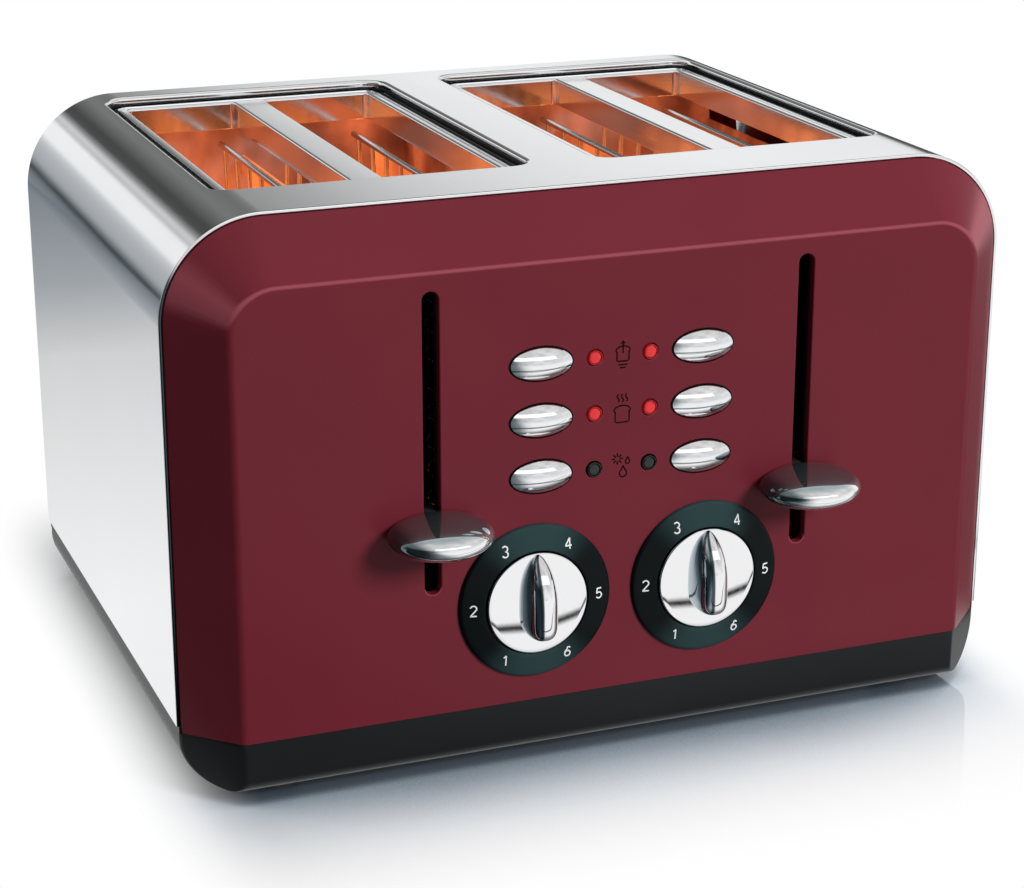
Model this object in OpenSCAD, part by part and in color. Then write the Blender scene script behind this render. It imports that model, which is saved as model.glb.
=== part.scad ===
// Four-slice toaster with two pairs of bread slots, each pair with its own lever, dial and buttons.
// +X is right, +Y is back and +Z is up. The origin is the middle of the footprint on the worktop.
// Depths along Y are measured backwards from the flat face of the front panel.

/* [Sleeve] */
// Width over the steel sleeve
sleeve_w = 300; // [285:1:330]
// Height of the sleeve above the base
sleeve_h = 172; // [160:1:190]
// Depth of the sleeve from its front edge to its rear edge
sleeve_d = 209; // [205:1:240]
// Outer radius of the sleeve's two top corners
sleeve_r = 34.5; // [25:0.5:40]
// Thickness of the sleeve's sheet
sheet_t = 1.2; // [0.9:0.1:1.6]

/* [Panels] */
// Depth of the bevel round the front panel
front_bevel = 16.6; // [12:0.1:20]
// Depth of the bevel round the rear panel
rear_bevel = 10; // [8:0.5:16]
// Width of the bevel at the panel's sides
bevel_side = 16.8; // [12:0.1:20]
// Height of the bevel at the panel's top
bevel_top = 18.5; // [12:0.1:22]
// Corner radius of the panel's raised pad
pad_r = 15.5; // [8:0.5:20]
// Radius of the soft ridge between pad and bevel
ridge_r = 3; // [1:0.5:5]
// Wall of the moulded panels
panel_wall = 3; // [2:0.1:4]
// Seam left between a panel and the sleeve round it
seam = 0.3; // [0.2:0.05:0.5]
// Reach of a panel's rim inside the sleeve
rim_reach = 6; // [3:0.5:8]

/* [Base] */
// Height of the base
base_h = 18; // [16:0.5:26]
// Radius of the base's lower left and right corners
base_r = 15; // [8:0.5:22]
// Radius of the base's lower front and rear edges
base_edge_r = 4; // [2:0.5:6]
// Wall of the base
base_wall = 2.5; // [2:0.1:3]
// Setback of the base behind the panels and the sleeve
base_inset = 0.8; // [0.4:0.1:0.9]
// Rise of the base's sides above its front edge, up to the sleeve
side_rise = 2.5; // [1:0.1:4]
// Height of a foot
foot_h = 5; // [2:0.5:6]
// Diameter of a foot
foot_dia = 13; // [10:0.5:16]
// Distance of the feet from the middle
foot_x = 116; // [100:1:120]
// Setback of a foot from the front or rear face
foot_back = 18; // [15:0.5:30]

/* [Bread slots] */
// Distance of each pair of slots from the middle
pair_x = 66.5; // [64:0.5:70]
// Width of a bread slot
slot_w = 41.5; // [36:0.5:44]
// Length of a bread slot
slot_l = 150; // [140:1:155]
// Corner radius of a bread slot
slot_r = 2; // [1:0.5:4]
// Width of the divider between the slots of a pair
divider_w = 12; // [10:0.5:16]
// Width of the raised rim round the slots
rim_w = 3.8; // [2:0.1:5]
// Width of the trough between the rim and the sleeve's opening
trough_w = 3.5; // [2:0.1:5]
// Depth of the lip turned down round the sleeve's opening
lip_h = 4.5; // [3.6:0.1:7]
// Drop of the rim below the sleeve's top
rim_drop = 3; // [1:0.1:3.4]
// Corner radius of the sleeve's opening
open_r = 8; // [6:0.5:12]
// Land of the sleeve in front of its openings
front_land = 33.4; // [30:0.1:38]
// Width of the frame's flange under the sleeve
flange_w = 5; // [3:0.5:6]
// Thickness of the frame's flange and skirts
flange_t = 1.2; // [0.8:0.1:2]
// Height of the skirt below each slot
skirt_h = 8; // [4:0.5:12]

/* [Levers] */
// Width of a lever slot
lever_slot_w = 5.6; // [5:0.1:7]
// Length of a lever slot
lever_slot_l = 102.3; // [95:0.1:110]
// Distance from the top of a lever slot up to the top of the pad
lever_slot_drop = 6.6; // [4:0.1:12]
// Height of the knob above the bottom of its slot, with the lever down
knob_rise = 23.2; // [20:0.1:26]
// Width of a lever knob
knob_w = 35; // [28:0.5:40]
// Height of a lever knob
knob_h = 13.5; // [12:0.5:20]
// Depth of a lever knob
knob_d = 23.5; // [12:0.5:26]
// Depth of a lever knob in front of its widest section
knob_swell = 16.5; // [7:0.5:18]
// Gap between a lever knob and the pad
knob_gap = 0.8; // [0.5:0.1:2]
// Thickness of the lever arm
arm_t = 4; // [3:0.1:4.4]
// Height of the lever arm
arm_h = 10; // [7:0.5:12]

/* [Dials] */
// Distance of a dial from the middle
dial_x = 31; // [28:0.1:34]
// Height of a dial above the base
dial_z = 36; // [32:0.1:40]
// Diameter of the scale ring
ring_dia = 54; // [46:0.5:56]
// Height of the scale ring at its inner edge
ring_h = 3; // [2:0.1:4]
// Height of the scale ring at its outer edge
ring_edge = 1.2; // [0.6:0.1:1.8]
// Diameter of the dial's disc
disc_dia = 35.5; // [30:0.5:42]
// Stand of the disc above the ring
disc_proud = 0.8; // [0.5:0.1:3]
// Height of the finger grip on the disc
grip_h = 10; // [6:0.5:14]
// Width of the finger grip
grip_w = 11; // [7:0.1:12]
// Diameter of the dial shaft
shaft_dia = 6; // [4:0.5:7]

/* [Buttons and lamps] */
// Distance of the buttons from the middle
button_x = 28.8; // [27:0.1:31]
// Height of the top row above the base
top_row_z = 117.8; // [112:0.1:122]
// Height from one row to the next
row_pitch = 19.25; // [16:0.05:20]
// Width of a button
button_w = 21.4; // [16:0.1:23]
// Height of a button
button_h = 10.9; // [9:0.1:13]
// Stand of a button above the pad
button_proud = 3.4; // [2.6:0.1:5]
// Travel of a button
button_travel = 2; // [1:0.1:2.5]
// Distance of the lamps from the middle
lamp_x = 9.9; // [8:0.1:11]
// Diameter of a lamp
lamp_dia = 5.2; // [4:0.1:6]
// Stand of a lamp above the pad
lamp_proud = 0.9; // [0.4:0.1:2]

/* [Control board] */
// Gap between the panel wall and the board
board_gap = 11; // [10:0.5:13]
// Thickness of the board
board_t = 1.6; // [1:0.1:2]
// Half width of the board
board_half = 50; // [48:0.5:54]
// Diameter of the posts that carry the board
post_dia = 7; // [5:0.5:8]
// Diameter of the small screws
screw_dia = 3; // [2:0.1:3.5]
// Diameter of a potentiometer
pot_dia = 17; // [14:0.5:18]
// Depth of a potentiometer
pot_d = 7.5; // [5:0.5:8]
// Side of a push switch
switch_w = 6; // [5:0.5:8]

/* [Chassis] */
// Thickness of the bulkheads
bulk_t = 1; // [0.8:0.1:2]
// Gap between the bulkheads and the sleeve's sides
bulk_gap = 14; // [10:0.5:16]
// Corner radius of the bulkheads
bulk_r = 20; // [10:1:24]
// Thickness of the shields
shield_t = 0.8; // [0.5:0.1:1.5]
// Setback of the side shields from the edge of the bulkheads
shield_in = 3; // [2:0.5:5]

/* [Heaters and guides] */
// Thickness of a heater card
card_t = 1; // [0.6:0.1:1.5]
// Distance of the outer heater cards from the edge of the slots
card_off = 5.5; // [4:0.5:7]
// Diameter of the heater wire
wire_dia = 1; // [0.6:0.1:1.4]
// Loops of wire on one card
wire_loops = 11; // [6:1:12]
// Setback of a card's edge under the wire
card_notch = 6; // [4:0.5:9]
// Diameter of the hinge rod and the top rail of a bread guide
guide_rod_dia = 2.4; // [2:0.1:3]
// Diameter of the guide's upright wires
guide_wire_dia = 1.8; // [1.2:0.1:1.9]
// Distance of the guide's rod inside the slot's edge
guide_in = 1.8; // [1.5:0.1:3]
// Lean of a guide with the lever down, in degrees
guide_lean = 2; // [1:0.1:3]
// Upright wires in one guide
guide_wires = 9; // [5:1:12]

/* [Carriages] */
// Diameter of the guide rod
rod_dia = 5; // [4:0.5:6]
// Distance of the guide rod in front of the bulkhead
rod_off = 16; // [14:0.5:18]
// Outer diameter of the carriage's bush
bush_dia = 9; // [8:0.5:11]
// Thickness of the carriage's yoke
yoke_t = 1.5; // [1:0.1:2]
// Height of the bread lift above the base, with the lever down
lift_rise = 11; // [8:0.5:14]
// Height of the bread lift's web
web_h = 8; // [6:0.5:10]
// Thickness of the bread lift's web
web_t = 1.6; // [1:0.1:2]
// Width of the bread lift's plate
plate_w = 13; // [8:0.5:16]
// Upward travel of a carriage
lift_travel = 70; // [60:1:72]
// Mean radius of the carriage spring
spring_r = 4.5; // [3:0.1:5]
// Diameter of the spring wire
spring_wire = 1; // [0.7:0.1:1.2]
// Curls in the carriage spring
spring_curls = 10; // [6:1:14]

/* [Crumb trays] */
// Height of a crumb tray
tray_h = 7.5; // [6:0.5:9]
// Wall of a crumb tray
tray_t = 1; // [0.8:0.1:1.5]
// Reach of a crumb tray past the slots on each side
tray_over = 2; // [1:0.5:3]
// Gap round a crumb tray
tray_gap = 0.4; // [0.3:0.05:0.8]

/* [Rear fittings] */
// Diameter of the gland's bore
gland_bore = 7.2; // [6:0.1:9]
// Diameter of the gland's body
gland_dia = 12; // [10.5:0.5:15]
// Stand of the gland and the tray grips behind the rear panel
rear_proud = 2; // [1.8:0.1:4]
// Distance of the gland from the middle
gland_x = 95; // [80:1:105]
// Height of the gland above the base
gland_z = 25; // [20:1:40]

/* [Hidden] */

left = -1;
right = 1;
// Reach of a cutting shape past the face it cuts
cut = 0.5;
// Radial clearance of a shaft in its hole, and of a piece in its pocket
fit_gap = 0.05;
// Clearance between neighbours that must not touch
air = 0.4;
// Fineness of rounded shapes, and of the panels' rounded corners
$fn = 48;
panel_fn = 64;

// Levels above the worktop
rail_over = 4;
z_floor = foot_h + base_wall;
z_rail = z_floor + tray_h + rail_over;
z_base = foot_h + base_h;
z_sleeve = z_base + side_rise;
z_top = z_base + sleeve_h;
z_lip = z_top - lip_h;
z_flange = z_lip - flange_t;

// Panels and overall depth
shell_d = front_bevel + sleeve_d + rear_bevel;
pad_y = (knob_gap + knob_d - shell_d - rear_proud) / 2;
panel_w = sleeve_w - 2 * (sheet_t + seam);
panel_h = sleeve_h - sheet_t - seam;
panel_r = sleeve_r - sheet_t - seam;
pad_w = panel_w - 2 * bevel_side;
pad_h = panel_h - bevel_top;
// Half of the turn from pad to bevel in degrees, and the step between slices of the ridge
half_turn = 22.5;
ridge_step = 15;
// Straight land of a panel inside the sleeve, the step behind it, and the thinnest slice of a panel
panel_land = 2;
land_step = 0.2;
slice = 0.02;
// Inset of the bevel's inner face where it meets the rim
bevel_in = panel_wall / cos(2 * half_turn);

// Bread slots
slot_pitch = slot_w + divider_w;
open_w = 2 * slot_w + divider_w + 2 * (rim_w + trough_w);
open_l = slot_l + 2 * (rim_w + trough_w);
open_front = front_bevel + front_land;
open_mid = open_front + open_l / 2;
slot_front = open_mid - slot_l / 2;

// Bulkheads, the chamber between them, and the play of what passes through them
bulk_front = open_front - flange_w;
bulk_rear = open_front + open_l + flange_w - bulk_t;
bulk_half = sleeve_w / 2 - sheet_t - bulk_gap;
chamber_front = bulk_front + bulk_t;
web_play = 0.7;
tab_play = 0.2;

// Rails for the trays, bosses beside them, and the small screws
rail_t = 3;
tray_half = slot_w + divider_w / 2 + tray_over;
tray_front = chamber_front + tray_gap;
boss_dia = 8;
boss_bite = 1;
boss_x = pair_x + tray_half + tray_gap + rail_t + boss_dia / 2 - boss_bite;
chassis_foot_l = 10;
chassis_foot_w = 12;
screw_head_dia = 5.6;
screw_head_h = 2;
screw_grip = 7;
grip_half = 20;
grip_lip = 3;

// Levers and carriages
z_slot_top = z_base + pad_h - lever_slot_drop;
z_knob = z_slot_top - lever_slot_l + knob_rise;
knob_y = knob_swell - knob_gap - knob_d;
rod_y = bulk_front - rod_off;
bush_up = 16;
bush_down = 22;
yoke_gap = 1.5;
yoke_y = rod_y + bush_dia / 2 + yoke_gap;
yoke_h = 10;
yoke_drop = 14;
z_yoke = z_knob - yoke_drop;
leg_w = 10;
z_lift = z_base + lift_rise;
plate_t = 1.2;
plate_short = 2;
tail_past = 2;
tab_t = 1.5;
tab_half = 7;
tab_reach = 6;
tab_drop = 9;
tab_rise = 5;
z_tab_low = z_base + tab_rise;
z_tab_high = z_flange - tab_drop;
spring_x = 13;
spring_tab_t = 1.5;
spring_tab_half = 4;
spring_tab_w = 18;
z_spring = z_yoke + spring_tab_t;
coil_dia = 15;
coil_h = 18;
core_dia = 7;
core_past = 5;
coil_x = bush_dia / 2 + air + coil_dia / 2;
armature_t = 3;
armature_half = 5;
z_armature = z_knob - bush_down;
z_coil = z_armature - air - core_past - coil_h;

// Heaters and guides
card_rise = 27;
card_drop = 13;
card_x = slot_w + divider_w / 2 + card_off;
z_card_low = z_base + card_rise;
z_card_high = z_flange - skirt_h - card_drop;
card_tab_h = 6;
card_tab_in = 1;
wire_margin = 9;
notch_over = 3;
wire_seat = 0.1;
wire_r = card_t / 2 + wire_seat + wire_dia / 2;
wire_low = z_card_low + wire_margin;
wire_pitch = (z_card_high - z_card_low - 2 * wire_margin) / wire_loops;
wire_sides = 6;
turn_steps = 3;
curl_steps = 8;
guide_rise = 23;
guide_drop = 5;
guide_past = 0.6;
guide_x = slot_w / 2 - guide_in;
z_pivot = z_base + guide_rise;
guide_h = z_flange - skirt_h - guide_drop - z_pivot;

// Controls
board_front = panel_wall + board_gap;
board_rear = board_front + board_t;
board_margin = 8;
board_low = z_base + dial_z - pot_dia / 2 - board_margin;
board_high = z_base + top_row_z + 2 * board_margin;
post_in = 5;
switch_h = 3.5;
button_gap = 0.5;
button_flange = 1.5;
button_flange_t = 1.2;
button_step = 0.2;
button_back = 1;
dome_spread = 1.12;
stem_dia = 5;
stem_end = board_front - switch_h - button_travel - air;
lamp_gap = 0.3;
lamp_step = 0.1;
lamp_cap_r = (pow(lamp_dia / 2, 2) + pow(lamp_proud, 2)) / (2 * lamp_proud);
dial_gap = 0.45;
hub_dia = 16;
hub_gap = 1;
hub_off = 1;
hub_end = board_front - pot_d - hub_off;
disc_h = ring_h + disc_proud;
disc_edge = 0.8;
ring_round = 1.2;
pot_end = 1;
shaft_play = 0.5;
shaft_in = 1.5;
shaft_end = board_front - pot_end - shaft_play;
// Finger grip: its reach below and above the dial's middle, its radii and the fall of its crest
grip_heel = 7;
grip_tip = disc_dia / 2 - 1.5;
grip_shoulder = 12;
grip_crest_r = grip_w / 4;
grip_tip_r = 0.8;
grip_fall = 1.2;
grip_side_h = grip_h / 2;
grip_tip_h = grip_h / 4;

// Rear fittings
rear_screw_in = 22;
rear_screw_rise = 10;
rear_screw_x = pad_w / 2 - rear_screw_in;
rear_screw_z = [z_base + rear_screw_rise, z_base + pad_h - rear_screw_in];
rear_head_dia = 7;
rear_head_h = 1.6;
rear_hole_play = 0.4;
screw_past = 1;
gland_rim = 2.5;
gland_nut_t = 4;
block_w = 32;
block_d = 9;
block_h = 14;
block_up = 18;
block_bore = 4;

// Height of a row of buttons, counted from the top
function row_z(row) = z_base + top_row_z - (row - 1) * row_pitch;

// A tube swept along a list of [point, sideways direction] pairs
function unit(v) = v / norm(v);
function tube_dir(path, i) =
  i == 0 ? unit(path[1][0] - path[0][0]) :
  i == len(path) - 1 ? unit(path[i][0] - path[i - 1][0]) :
  unit(unit(path[i + 1][0] - path[i][0]) + unit(path[i][0] - path[i - 1][0]));
function tube_ring(path, i, dia) =
  let (t = tube_dir(path, i))
  let (n = unit(path[i][1] - (path[i][1] * t) * t))
  let (b = cross(t, n))
  let (turn = 360 / wire_sides)
  [for (j = [0:wire_sides - 1]) path[i][0] + dia / 2 * (cos(turn * j) * n + sin(turn * j) * b)];

// Least gap of a tube to itself, measured on its points
function least_gap(path, dia) =
  min([for (i = [0:len(path) - 3], j = [i + 2:len(path) - 1]) norm(path[i][0] - path[j][0])]) - dia;

module tube(path, dia) {
  last = len(path) - 1;
  points = [for (i = [0:last]) each tube_ring(path, i, dia)];
  walls = [
    for (i = [0:last - 1], j = [0:wire_sides - 1])
      let (k = (j + 1) % wire_sides)
      let (a = i * wire_sides)
      let (b = a + wire_sides)
      each [[a + j, b + j, b + k], [a + j, b + k, a + k]]
  ];
  end = last * wire_sides;
  caps = [for (j = [1:wire_sides - 2]) each [[0, j, j + 1], [end, end + j + 1, end + j]]];
  polyhedron(points, concat(walls, caps));
}

// Path of the wire round one card: up the back face, round the rear edge, and down the other face
function rear_turn(z) = [
  for (i = [0:turn_steps])
    let (a = 180 * i / turn_steps)
    let (n = [-cos(a), sin(a), 0])
    [[0, bulk_rear - card_notch, z] + wire_r * n, n]
];
function front_turn(z) = [
  for (i = [0:turn_steps])
    let (a = 180 * i / turn_steps)
    let (n = [cos(a), -sin(a), 0])
    [[0, chamber_front + card_notch, z] + wire_r * n, n]
];
function wire_path() =
  let (top = wire_low + wire_loops * wire_pitch)
  let (lead = [0, 2 * wire_dia, 0])
  let (first = [-wire_r, chamber_front, wire_low])
  let (final = [wire_r, chamber_front, top])
  concat(
    [[first, [-1, 0, 0]], [first + lead, [-1, 0, 0]]],
    [
      for (k = [0:wire_loops - 1])
        each concat(
          rear_turn(wire_low + (k + 0.5) * wire_pitch),
          k < wire_loops - 1 ? front_turn(wire_low + (k + 1) * wire_pitch) : []
        )
    ],
    [[final + lead, [1, 0, 0]], [final, [1, 0, 0]]]
  );

// Path of a carriage spring from the carriage's tab up to the bulkhead's tab
function spring_path() =
  let (climb = z_tab_high - z_spring - 2 * spring_wire)
  let (steps = curl_steps * spring_curls)
  concat(
    [[[spring_r, 0, z_spring], [1, 0, 0]]],
    [
      for (i = [0:steps])
        let (n = [cos(360 * i / curl_steps), sin(360 * i / curl_steps), 0])
        [spring_r * n + [0, 0, z_spring + spring_wire + climb * i / steps], n]
    ],
    [[[spring_r, 0, z_tab_high], [1, 0, 0]]]
  );

echo(least_gap_heater_wire = least_gap(wire_path(), wire_dia));
echo(least_gap_carriage_spring = least_gap(spring_path(), spring_wire));

// Shared shapes
module on_side(side) {
  translate([0, pad_y, 0])
    mirror([side < 0 ? 1 : 0, 0, 0])
      children();
}

module along_y(from, reach) {
  translate([0, from + reach, 0])
    rotate([90, 0, 0])
      linear_extrude(reach)
        children();
}

module y_rod(dia, from, reach) {
  translate([0, from, 0])
    rotate([-90, 0, 0])
      cylinder(d = dia, h = reach);
}

module oval_rod(w, h, from, reach) {
  scale([w / 2, 1, h / 2])
    y_rod(2, from, reach);
}

module arch(w, h, r) {
  translate([-w / 2, 0])
    square([w, h - r]);
  translate([r - w / 2, 0])
    square([w - 2 * r, h]);
  for (side = [left, right])
    translate([side * (w / 2 - r), h - r])
      circle(r);
}

module round_rect(w, l, r) {
  square([w - 2 * r, l], center = true);
  square([w, l - 2 * r], center = true);
  for (x = [left, right], y = [left, right])
    translate([x * (w / 2 - r), y * (l / 2 - r)])
      circle(r);
}

module box_between(low, high) {
  translate(low)
    cube(high - low);
}

// Steel sleeve
module sleeve_outside() {
  along_y(front_bevel, sleeve_d)
    translate([0, z_sleeve])
      arch(sleeve_w, sleeve_h - side_rise, sleeve_r);
}

module sleeve_inside(inset) {
  along_y(front_bevel - cut, sleeve_d + 2 * cut)
    translate([0, z_base - cut])
      arch(sleeve_w - 2 * inset, sleeve_h - inset + cut, sleeve_r - inset);
}

module opening_prism(grow, from, reach) {
  for (side = [left, right])
    translate([side * pair_x, open_mid, from])
      linear_extrude(reach)
        round_rect(open_w + 2 * grow, open_l + 2 * grow, open_r + grow);
}

module steel_sleeve() {
  color("silver")
    on_side(right)
      difference() {
        intersection() {
          sleeve_outside();
          union() {
            difference() {
              sleeve_outside();
              sleeve_inside(sheet_t);
            }
            opening_prism(sheet_t, z_lip, lip_h + cut);
          }
        }
        opening_prism(0, z_lip - cut, lip_h + 2 * cut);
      }
}

// Moulded panels
module pad_slice(from, grow) {
  along_y(from, slice)
    translate([0, z_base])
      arch(pad_w + 2 * grow, pad_h + grow, pad_r + grow, $fn = panel_fn);
}

module panel_hollow(from, reach, inset) {
  along_y(from, reach)
    translate([0, z_base - cut])
      arch(panel_w - 2 * inset, panel_h - inset + cut, panel_r - inset, $fn = panel_fn);
}

module panel_shell(bevel) {
  pad_in = panel_wall * tan(half_turn);
  difference() {
    union() {
      hull() {
        for (a = [0:ridge_step:2 * half_turn])
          pad_slice(ridge_r * (1 - cos(a)), ridge_r * (sin(a) - tan(half_turn)));
        along_y(bevel, panel_land)
          translate([0, z_base])
            arch(panel_w, panel_h, panel_r, $fn = panel_fn);
      }
      along_y(bevel + panel_land / 2, rim_reach - panel_land / 2)
        translate([0, z_base])
          arch(panel_w - 2 * land_step, panel_h - land_step, panel_r - land_step);
    }
    hull() {
      translate([0, 0, -cut])
        pad_slice(panel_wall, -pad_in);
      panel_hollow(bevel, slice, bevel_in);
    }
    panel_hollow(bevel - cut, rim_reach + 2 * cut, panel_wall + land_step);
    along_y(bevel, rim_reach + cut)
      translate([-panel_w / 2 - cut, z_base - cut])
        square([panel_w + 2 * cut, side_rise + air + cut]);
  }
}

module at_posts() {
  for (x = [left, right], z = [board_low + post_in, board_high - post_in])
    translate([x * (board_half - post_in), 0, z])
      children();
}

module at_buttons() {
  for (side = [left, right], row = [1:3])
    translate([side * button_x, 0, row_z(row)])
      children();
}

module at_lamps(rows) {
  for (side = [left, right], row = rows)
    translate([side * lamp_x, 0, row_z(row)])
      children();
}

module at_dials() {
  for (side = [left, right])
    translate([side * dial_x, 0, z_base + dial_z])
      children();
}

module lever_slots() {
  for (side = [left, right])
    along_y(-cut, panel_wall + 2 * cut)
      translate([side * pair_x, z_slot_top - lever_slot_l / 2])
        round_rect(lever_slot_w, lever_slot_l, lever_slot_w / 2 - slice);
}

module front_panel() {
  color("#732c37")
    on_side(right)
      difference() {
        union() {
          panel_shell(front_bevel);
          at_posts()
            y_rod(post_dia, panel_wall - cut, board_gap + cut);
        }
        lever_slots();
        at_posts()
          y_rod(screw_dia + 2 * fit_gap, board_front - screw_grip - cut, screw_grip + 2 * cut);
        at_buttons()
          oval_rod(button_w + 2 * button_gap, button_h + 2 * button_gap, -cut, panel_wall + 2 * cut);
        at_lamps([1:3])
          y_rod(lamp_dia + 2 * lamp_gap, -cut, panel_wall + 2 * cut);
        at_dials()
          y_rod(hub_dia + 2 * hub_gap, -cut, panel_wall + 2 * cut);
      }
}

module at_rear_screws() {
  for (x = [left, right], z = rear_screw_z)
    translate([x * rear_screw_x, 0, z])
      children();
}

module at_gland() {
  translate([-gland_x, 0, z_base + gland_z])
    children();
}

module rear_panel() {
  color("#732c37")
    on_side(right)
      difference() {
        translate([0, shell_d, 0])
          mirror([0, 1, 0])
            panel_shell(rear_bevel);
        at_rear_screws()
          y_rod(screw_dia + rear_hole_play, shell_d - panel_wall - cut, panel_wall + 2 * cut);
        at_gland()
          y_rod(gland_dia + 2 * fit_gap, shell_d - panel_wall - cut, panel_wall + 2 * cut);
      }
}

// Base and feet
module base_plan(inset) {
  side = sleeve_w / 2 - inset;
  pad = pad_w / 2 - inset * tan(half_turn);
  polygon([
    [-side, front_bevel], [-pad, inset], [pad, inset], [side, front_bevel],
    [side, shell_d - rear_bevel], [pad, shell_d - inset], [-pad, shell_d - inset],
    [-side, shell_d - rear_bevel]
  ]);
}

module base_block(inset, low, high) {
  r = base_r - inset + base_inset;
  edge = max(base_edge_r - inset + base_inset, slice);
  intersection() {
    translate([0, 0, low])
      linear_extrude(high - low)
        base_plan(inset);
    along_y(-cut, shell_d + 2 * cut)
      translate([0, low])
        mirror([0, 1])
          translate([0, -base_h - r])
            arch(sleeve_w - 2 * inset, base_h + r, r);
    translate([-sleeve_w / 2, shell_d / 2, low])
      rotate([90, 0, 90])
        linear_extrude(sleeve_w)
          mirror([0, 1])
            translate([0, -base_h - edge])
              arch(shell_d - 2 * inset, base_h + edge, edge);
  }
}

module at_bosses() {
  for (x = [left, right], y = [chamber_front + chassis_foot_l / 2, bulk_rear - chassis_foot_l / 2])
    translate([x * boss_x, y, 0])
      children();
}

module side_curbs() {
  for (side = [left, right])
    translate([side * (sleeve_w - 2 * base_inset - base_wall) / 2, 0, 0])
      box_between(
        [-base_wall / 2, front_bevel + air, z_base - cut],
        [base_wall / 2, shell_d - rear_bevel - air, z_sleeve]
      );
}

module tray_rails() {
  rail_x = tray_half + tray_gap;
  for (side = [left, right], edge = [left, right])
    translate([side * pair_x + edge * (rail_x + rail_t / 2), 0, 0])
      box_between(
        [-rail_t / 2, bulk_front, z_floor - cut],
        [rail_t / 2, bulk_rear + bulk_t, z_rail]
      );
}

module base() {
  mouth_x = tray_half + tray_gap;
  color("#222426")
    on_side(right)
      difference() {
        union() {
          difference() {
            base_block(base_inset, foot_h, z_base);
            base_block(base_inset + base_wall, z_floor, z_base + cut);
          }
          side_curbs();
          tray_rails();
          at_bosses()
            translate([0, 0, z_floor - cut])
              cylinder(d = boss_dia, h = z_rail - z_floor + cut);
        }
        at_bosses()
          translate([0, 0, z_rail - screw_grip - cut])
            cylinder(d = screw_dia + 2 * fit_gap, h = screw_grip + 2 * cut);
        for (side = [left, right])
          translate([side * pair_x, 0, 0])
            box_between(
              [-mouth_x, bulk_rear + bulk_t + cut, z_floor],
              [mouth_x, shell_d + cut, z_floor + tray_h + 2 * tray_gap]
            );
      }
}

module feet() {
  color("#181818")
    on_side(right)
      for (x = [left, right], y = [foot_back, shell_d - foot_back])
        translate([x * foot_x, y, 0])
          cylinder(d = foot_dia, h = foot_h);
}

// Slot frames
module at_slots() {
  for (slot = [left, right])
    translate([pair_x + slot * slot_pitch / 2, open_mid, 0])
      children();
}

module slot_frame(side) {
  color("gainsboro")
    on_side(side)
      difference() {
        union() {
          intersection() {
            translate([pair_x, open_mid, z_flange])
              linear_extrude(flange_t)
                round_rect(open_w + 2 * flange_w, open_l + 2 * flange_w, open_r + flange_w);
            sleeve_inside(sheet_t + seam);
          }
          translate([pair_x, open_mid, z_flange])
            linear_extrude(z_top - rim_drop - z_flange)
              round_rect(open_w - 2 * trough_w, open_l - 2 * trough_w, open_r - trough_w);
          at_slots()
            translate([0, 0, z_flange - skirt_h])
              linear_extrude(skirt_h + flange_t)
                round_rect(slot_w + 2 * flange_t, slot_l + 2 * flange_t, slot_r + flange_t);
        }
        at_slots()
          translate([0, 0, z_flange - skirt_h - cut])
            linear_extrude(z_top - z_flange + skirt_h + 2 * cut)
              round_rect(slot_w, slot_l, slot_r);
      }
}

// Rear fittings
module cord_gland() {
  color("#1c1c1c")
    on_side(right)
      at_gland()
        difference() {
          union() {
            y_rod(gland_dia, shell_d - panel_wall - gland_nut_t, panel_wall + gland_nut_t + rear_proud);
            y_rod(gland_dia + 2 * gland_rim, shell_d, rear_proud);
            y_rod(gland_dia + 2 * gland_rim, shell_d - panel_wall - gland_nut_t, gland_nut_t);
          }
          y_rod(
            gland_bore,
            shell_d - panel_wall - gland_nut_t - cut,
            panel_wall + gland_nut_t + rear_proud + 2 * cut
          );
        }
}

module terminal_block() {
  color("ivory")
    on_side(right)
      translate([-pair_x, bulk_rear + bulk_t, z_base + gland_z + block_up])
        difference() {
          box_between([-block_w / 2, 0, 0], [block_w / 2, block_d, block_h]);
          for (x = [left, 0, right])
            translate([x * block_w / 3, 0, block_h / 2])
              y_rod(block_bore, block_d / 2, block_d);
        }
}

module rear_screws() {
  color("dimgray")
    on_side(right)
      at_rear_screws() {
        y_rod(screw_dia, bulk_rear - screw_past, shell_d - bulk_rear + screw_past + cut);
        y_rod(rear_head_dia, shell_d, rear_head_h);
      }
}

// Chassis
module bulkhead_sheet(from) {
  along_y(from, bulk_t)
    difference() {
      translate([0, z_rail])
        arch(2 * bulk_half, z_flange - z_rail, bulk_r);
      for (side = [left, right], slot = [left, right])
        translate([side * pair_x + slot * slot_pitch / 2, z_lift - web_play])
          translate([-web_t / 2 - web_play, 0])
            square([web_t + 2 * web_play, web_h + lift_travel + 2 * web_play]);
      for (side = [left, right], slot = [left, right], wall = [left, right])
        translate([side * pair_x + slot * slot_pitch / 2 + wall * guide_x, z_pivot])
          circle(d = guide_rod_dia + 2 * fit_gap);
      for (side = [left, right], x = [-card_x, 0, card_x], z = card_tabs())
        translate([side * pair_x + x - card_t / 2 - tab_play, z - tab_play])
          square([card_t + 2 * tab_play, card_tab_h + 2 * tab_play]);
    }
}

function card_tabs() = [z_card_low + card_tab_in, z_card_high - card_tab_in - card_tab_h];

module chassis_feet(from) {
  for (x = [left, right])
    translate([x * boss_x, 0, 0])
      box_between(
        [-chassis_foot_w / 2, from, z_rail],
        [chassis_foot_w / 2, from + chassis_foot_l + bulk_t, z_rail + bulk_t]
      );
}

module foot_holes() {
  at_bosses()
    translate([0, 0, z_rail - cut])
      cylinder(d = screw_dia + 2 * fit_gap, h = bulk_t + 2 * cut);
}

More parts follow.
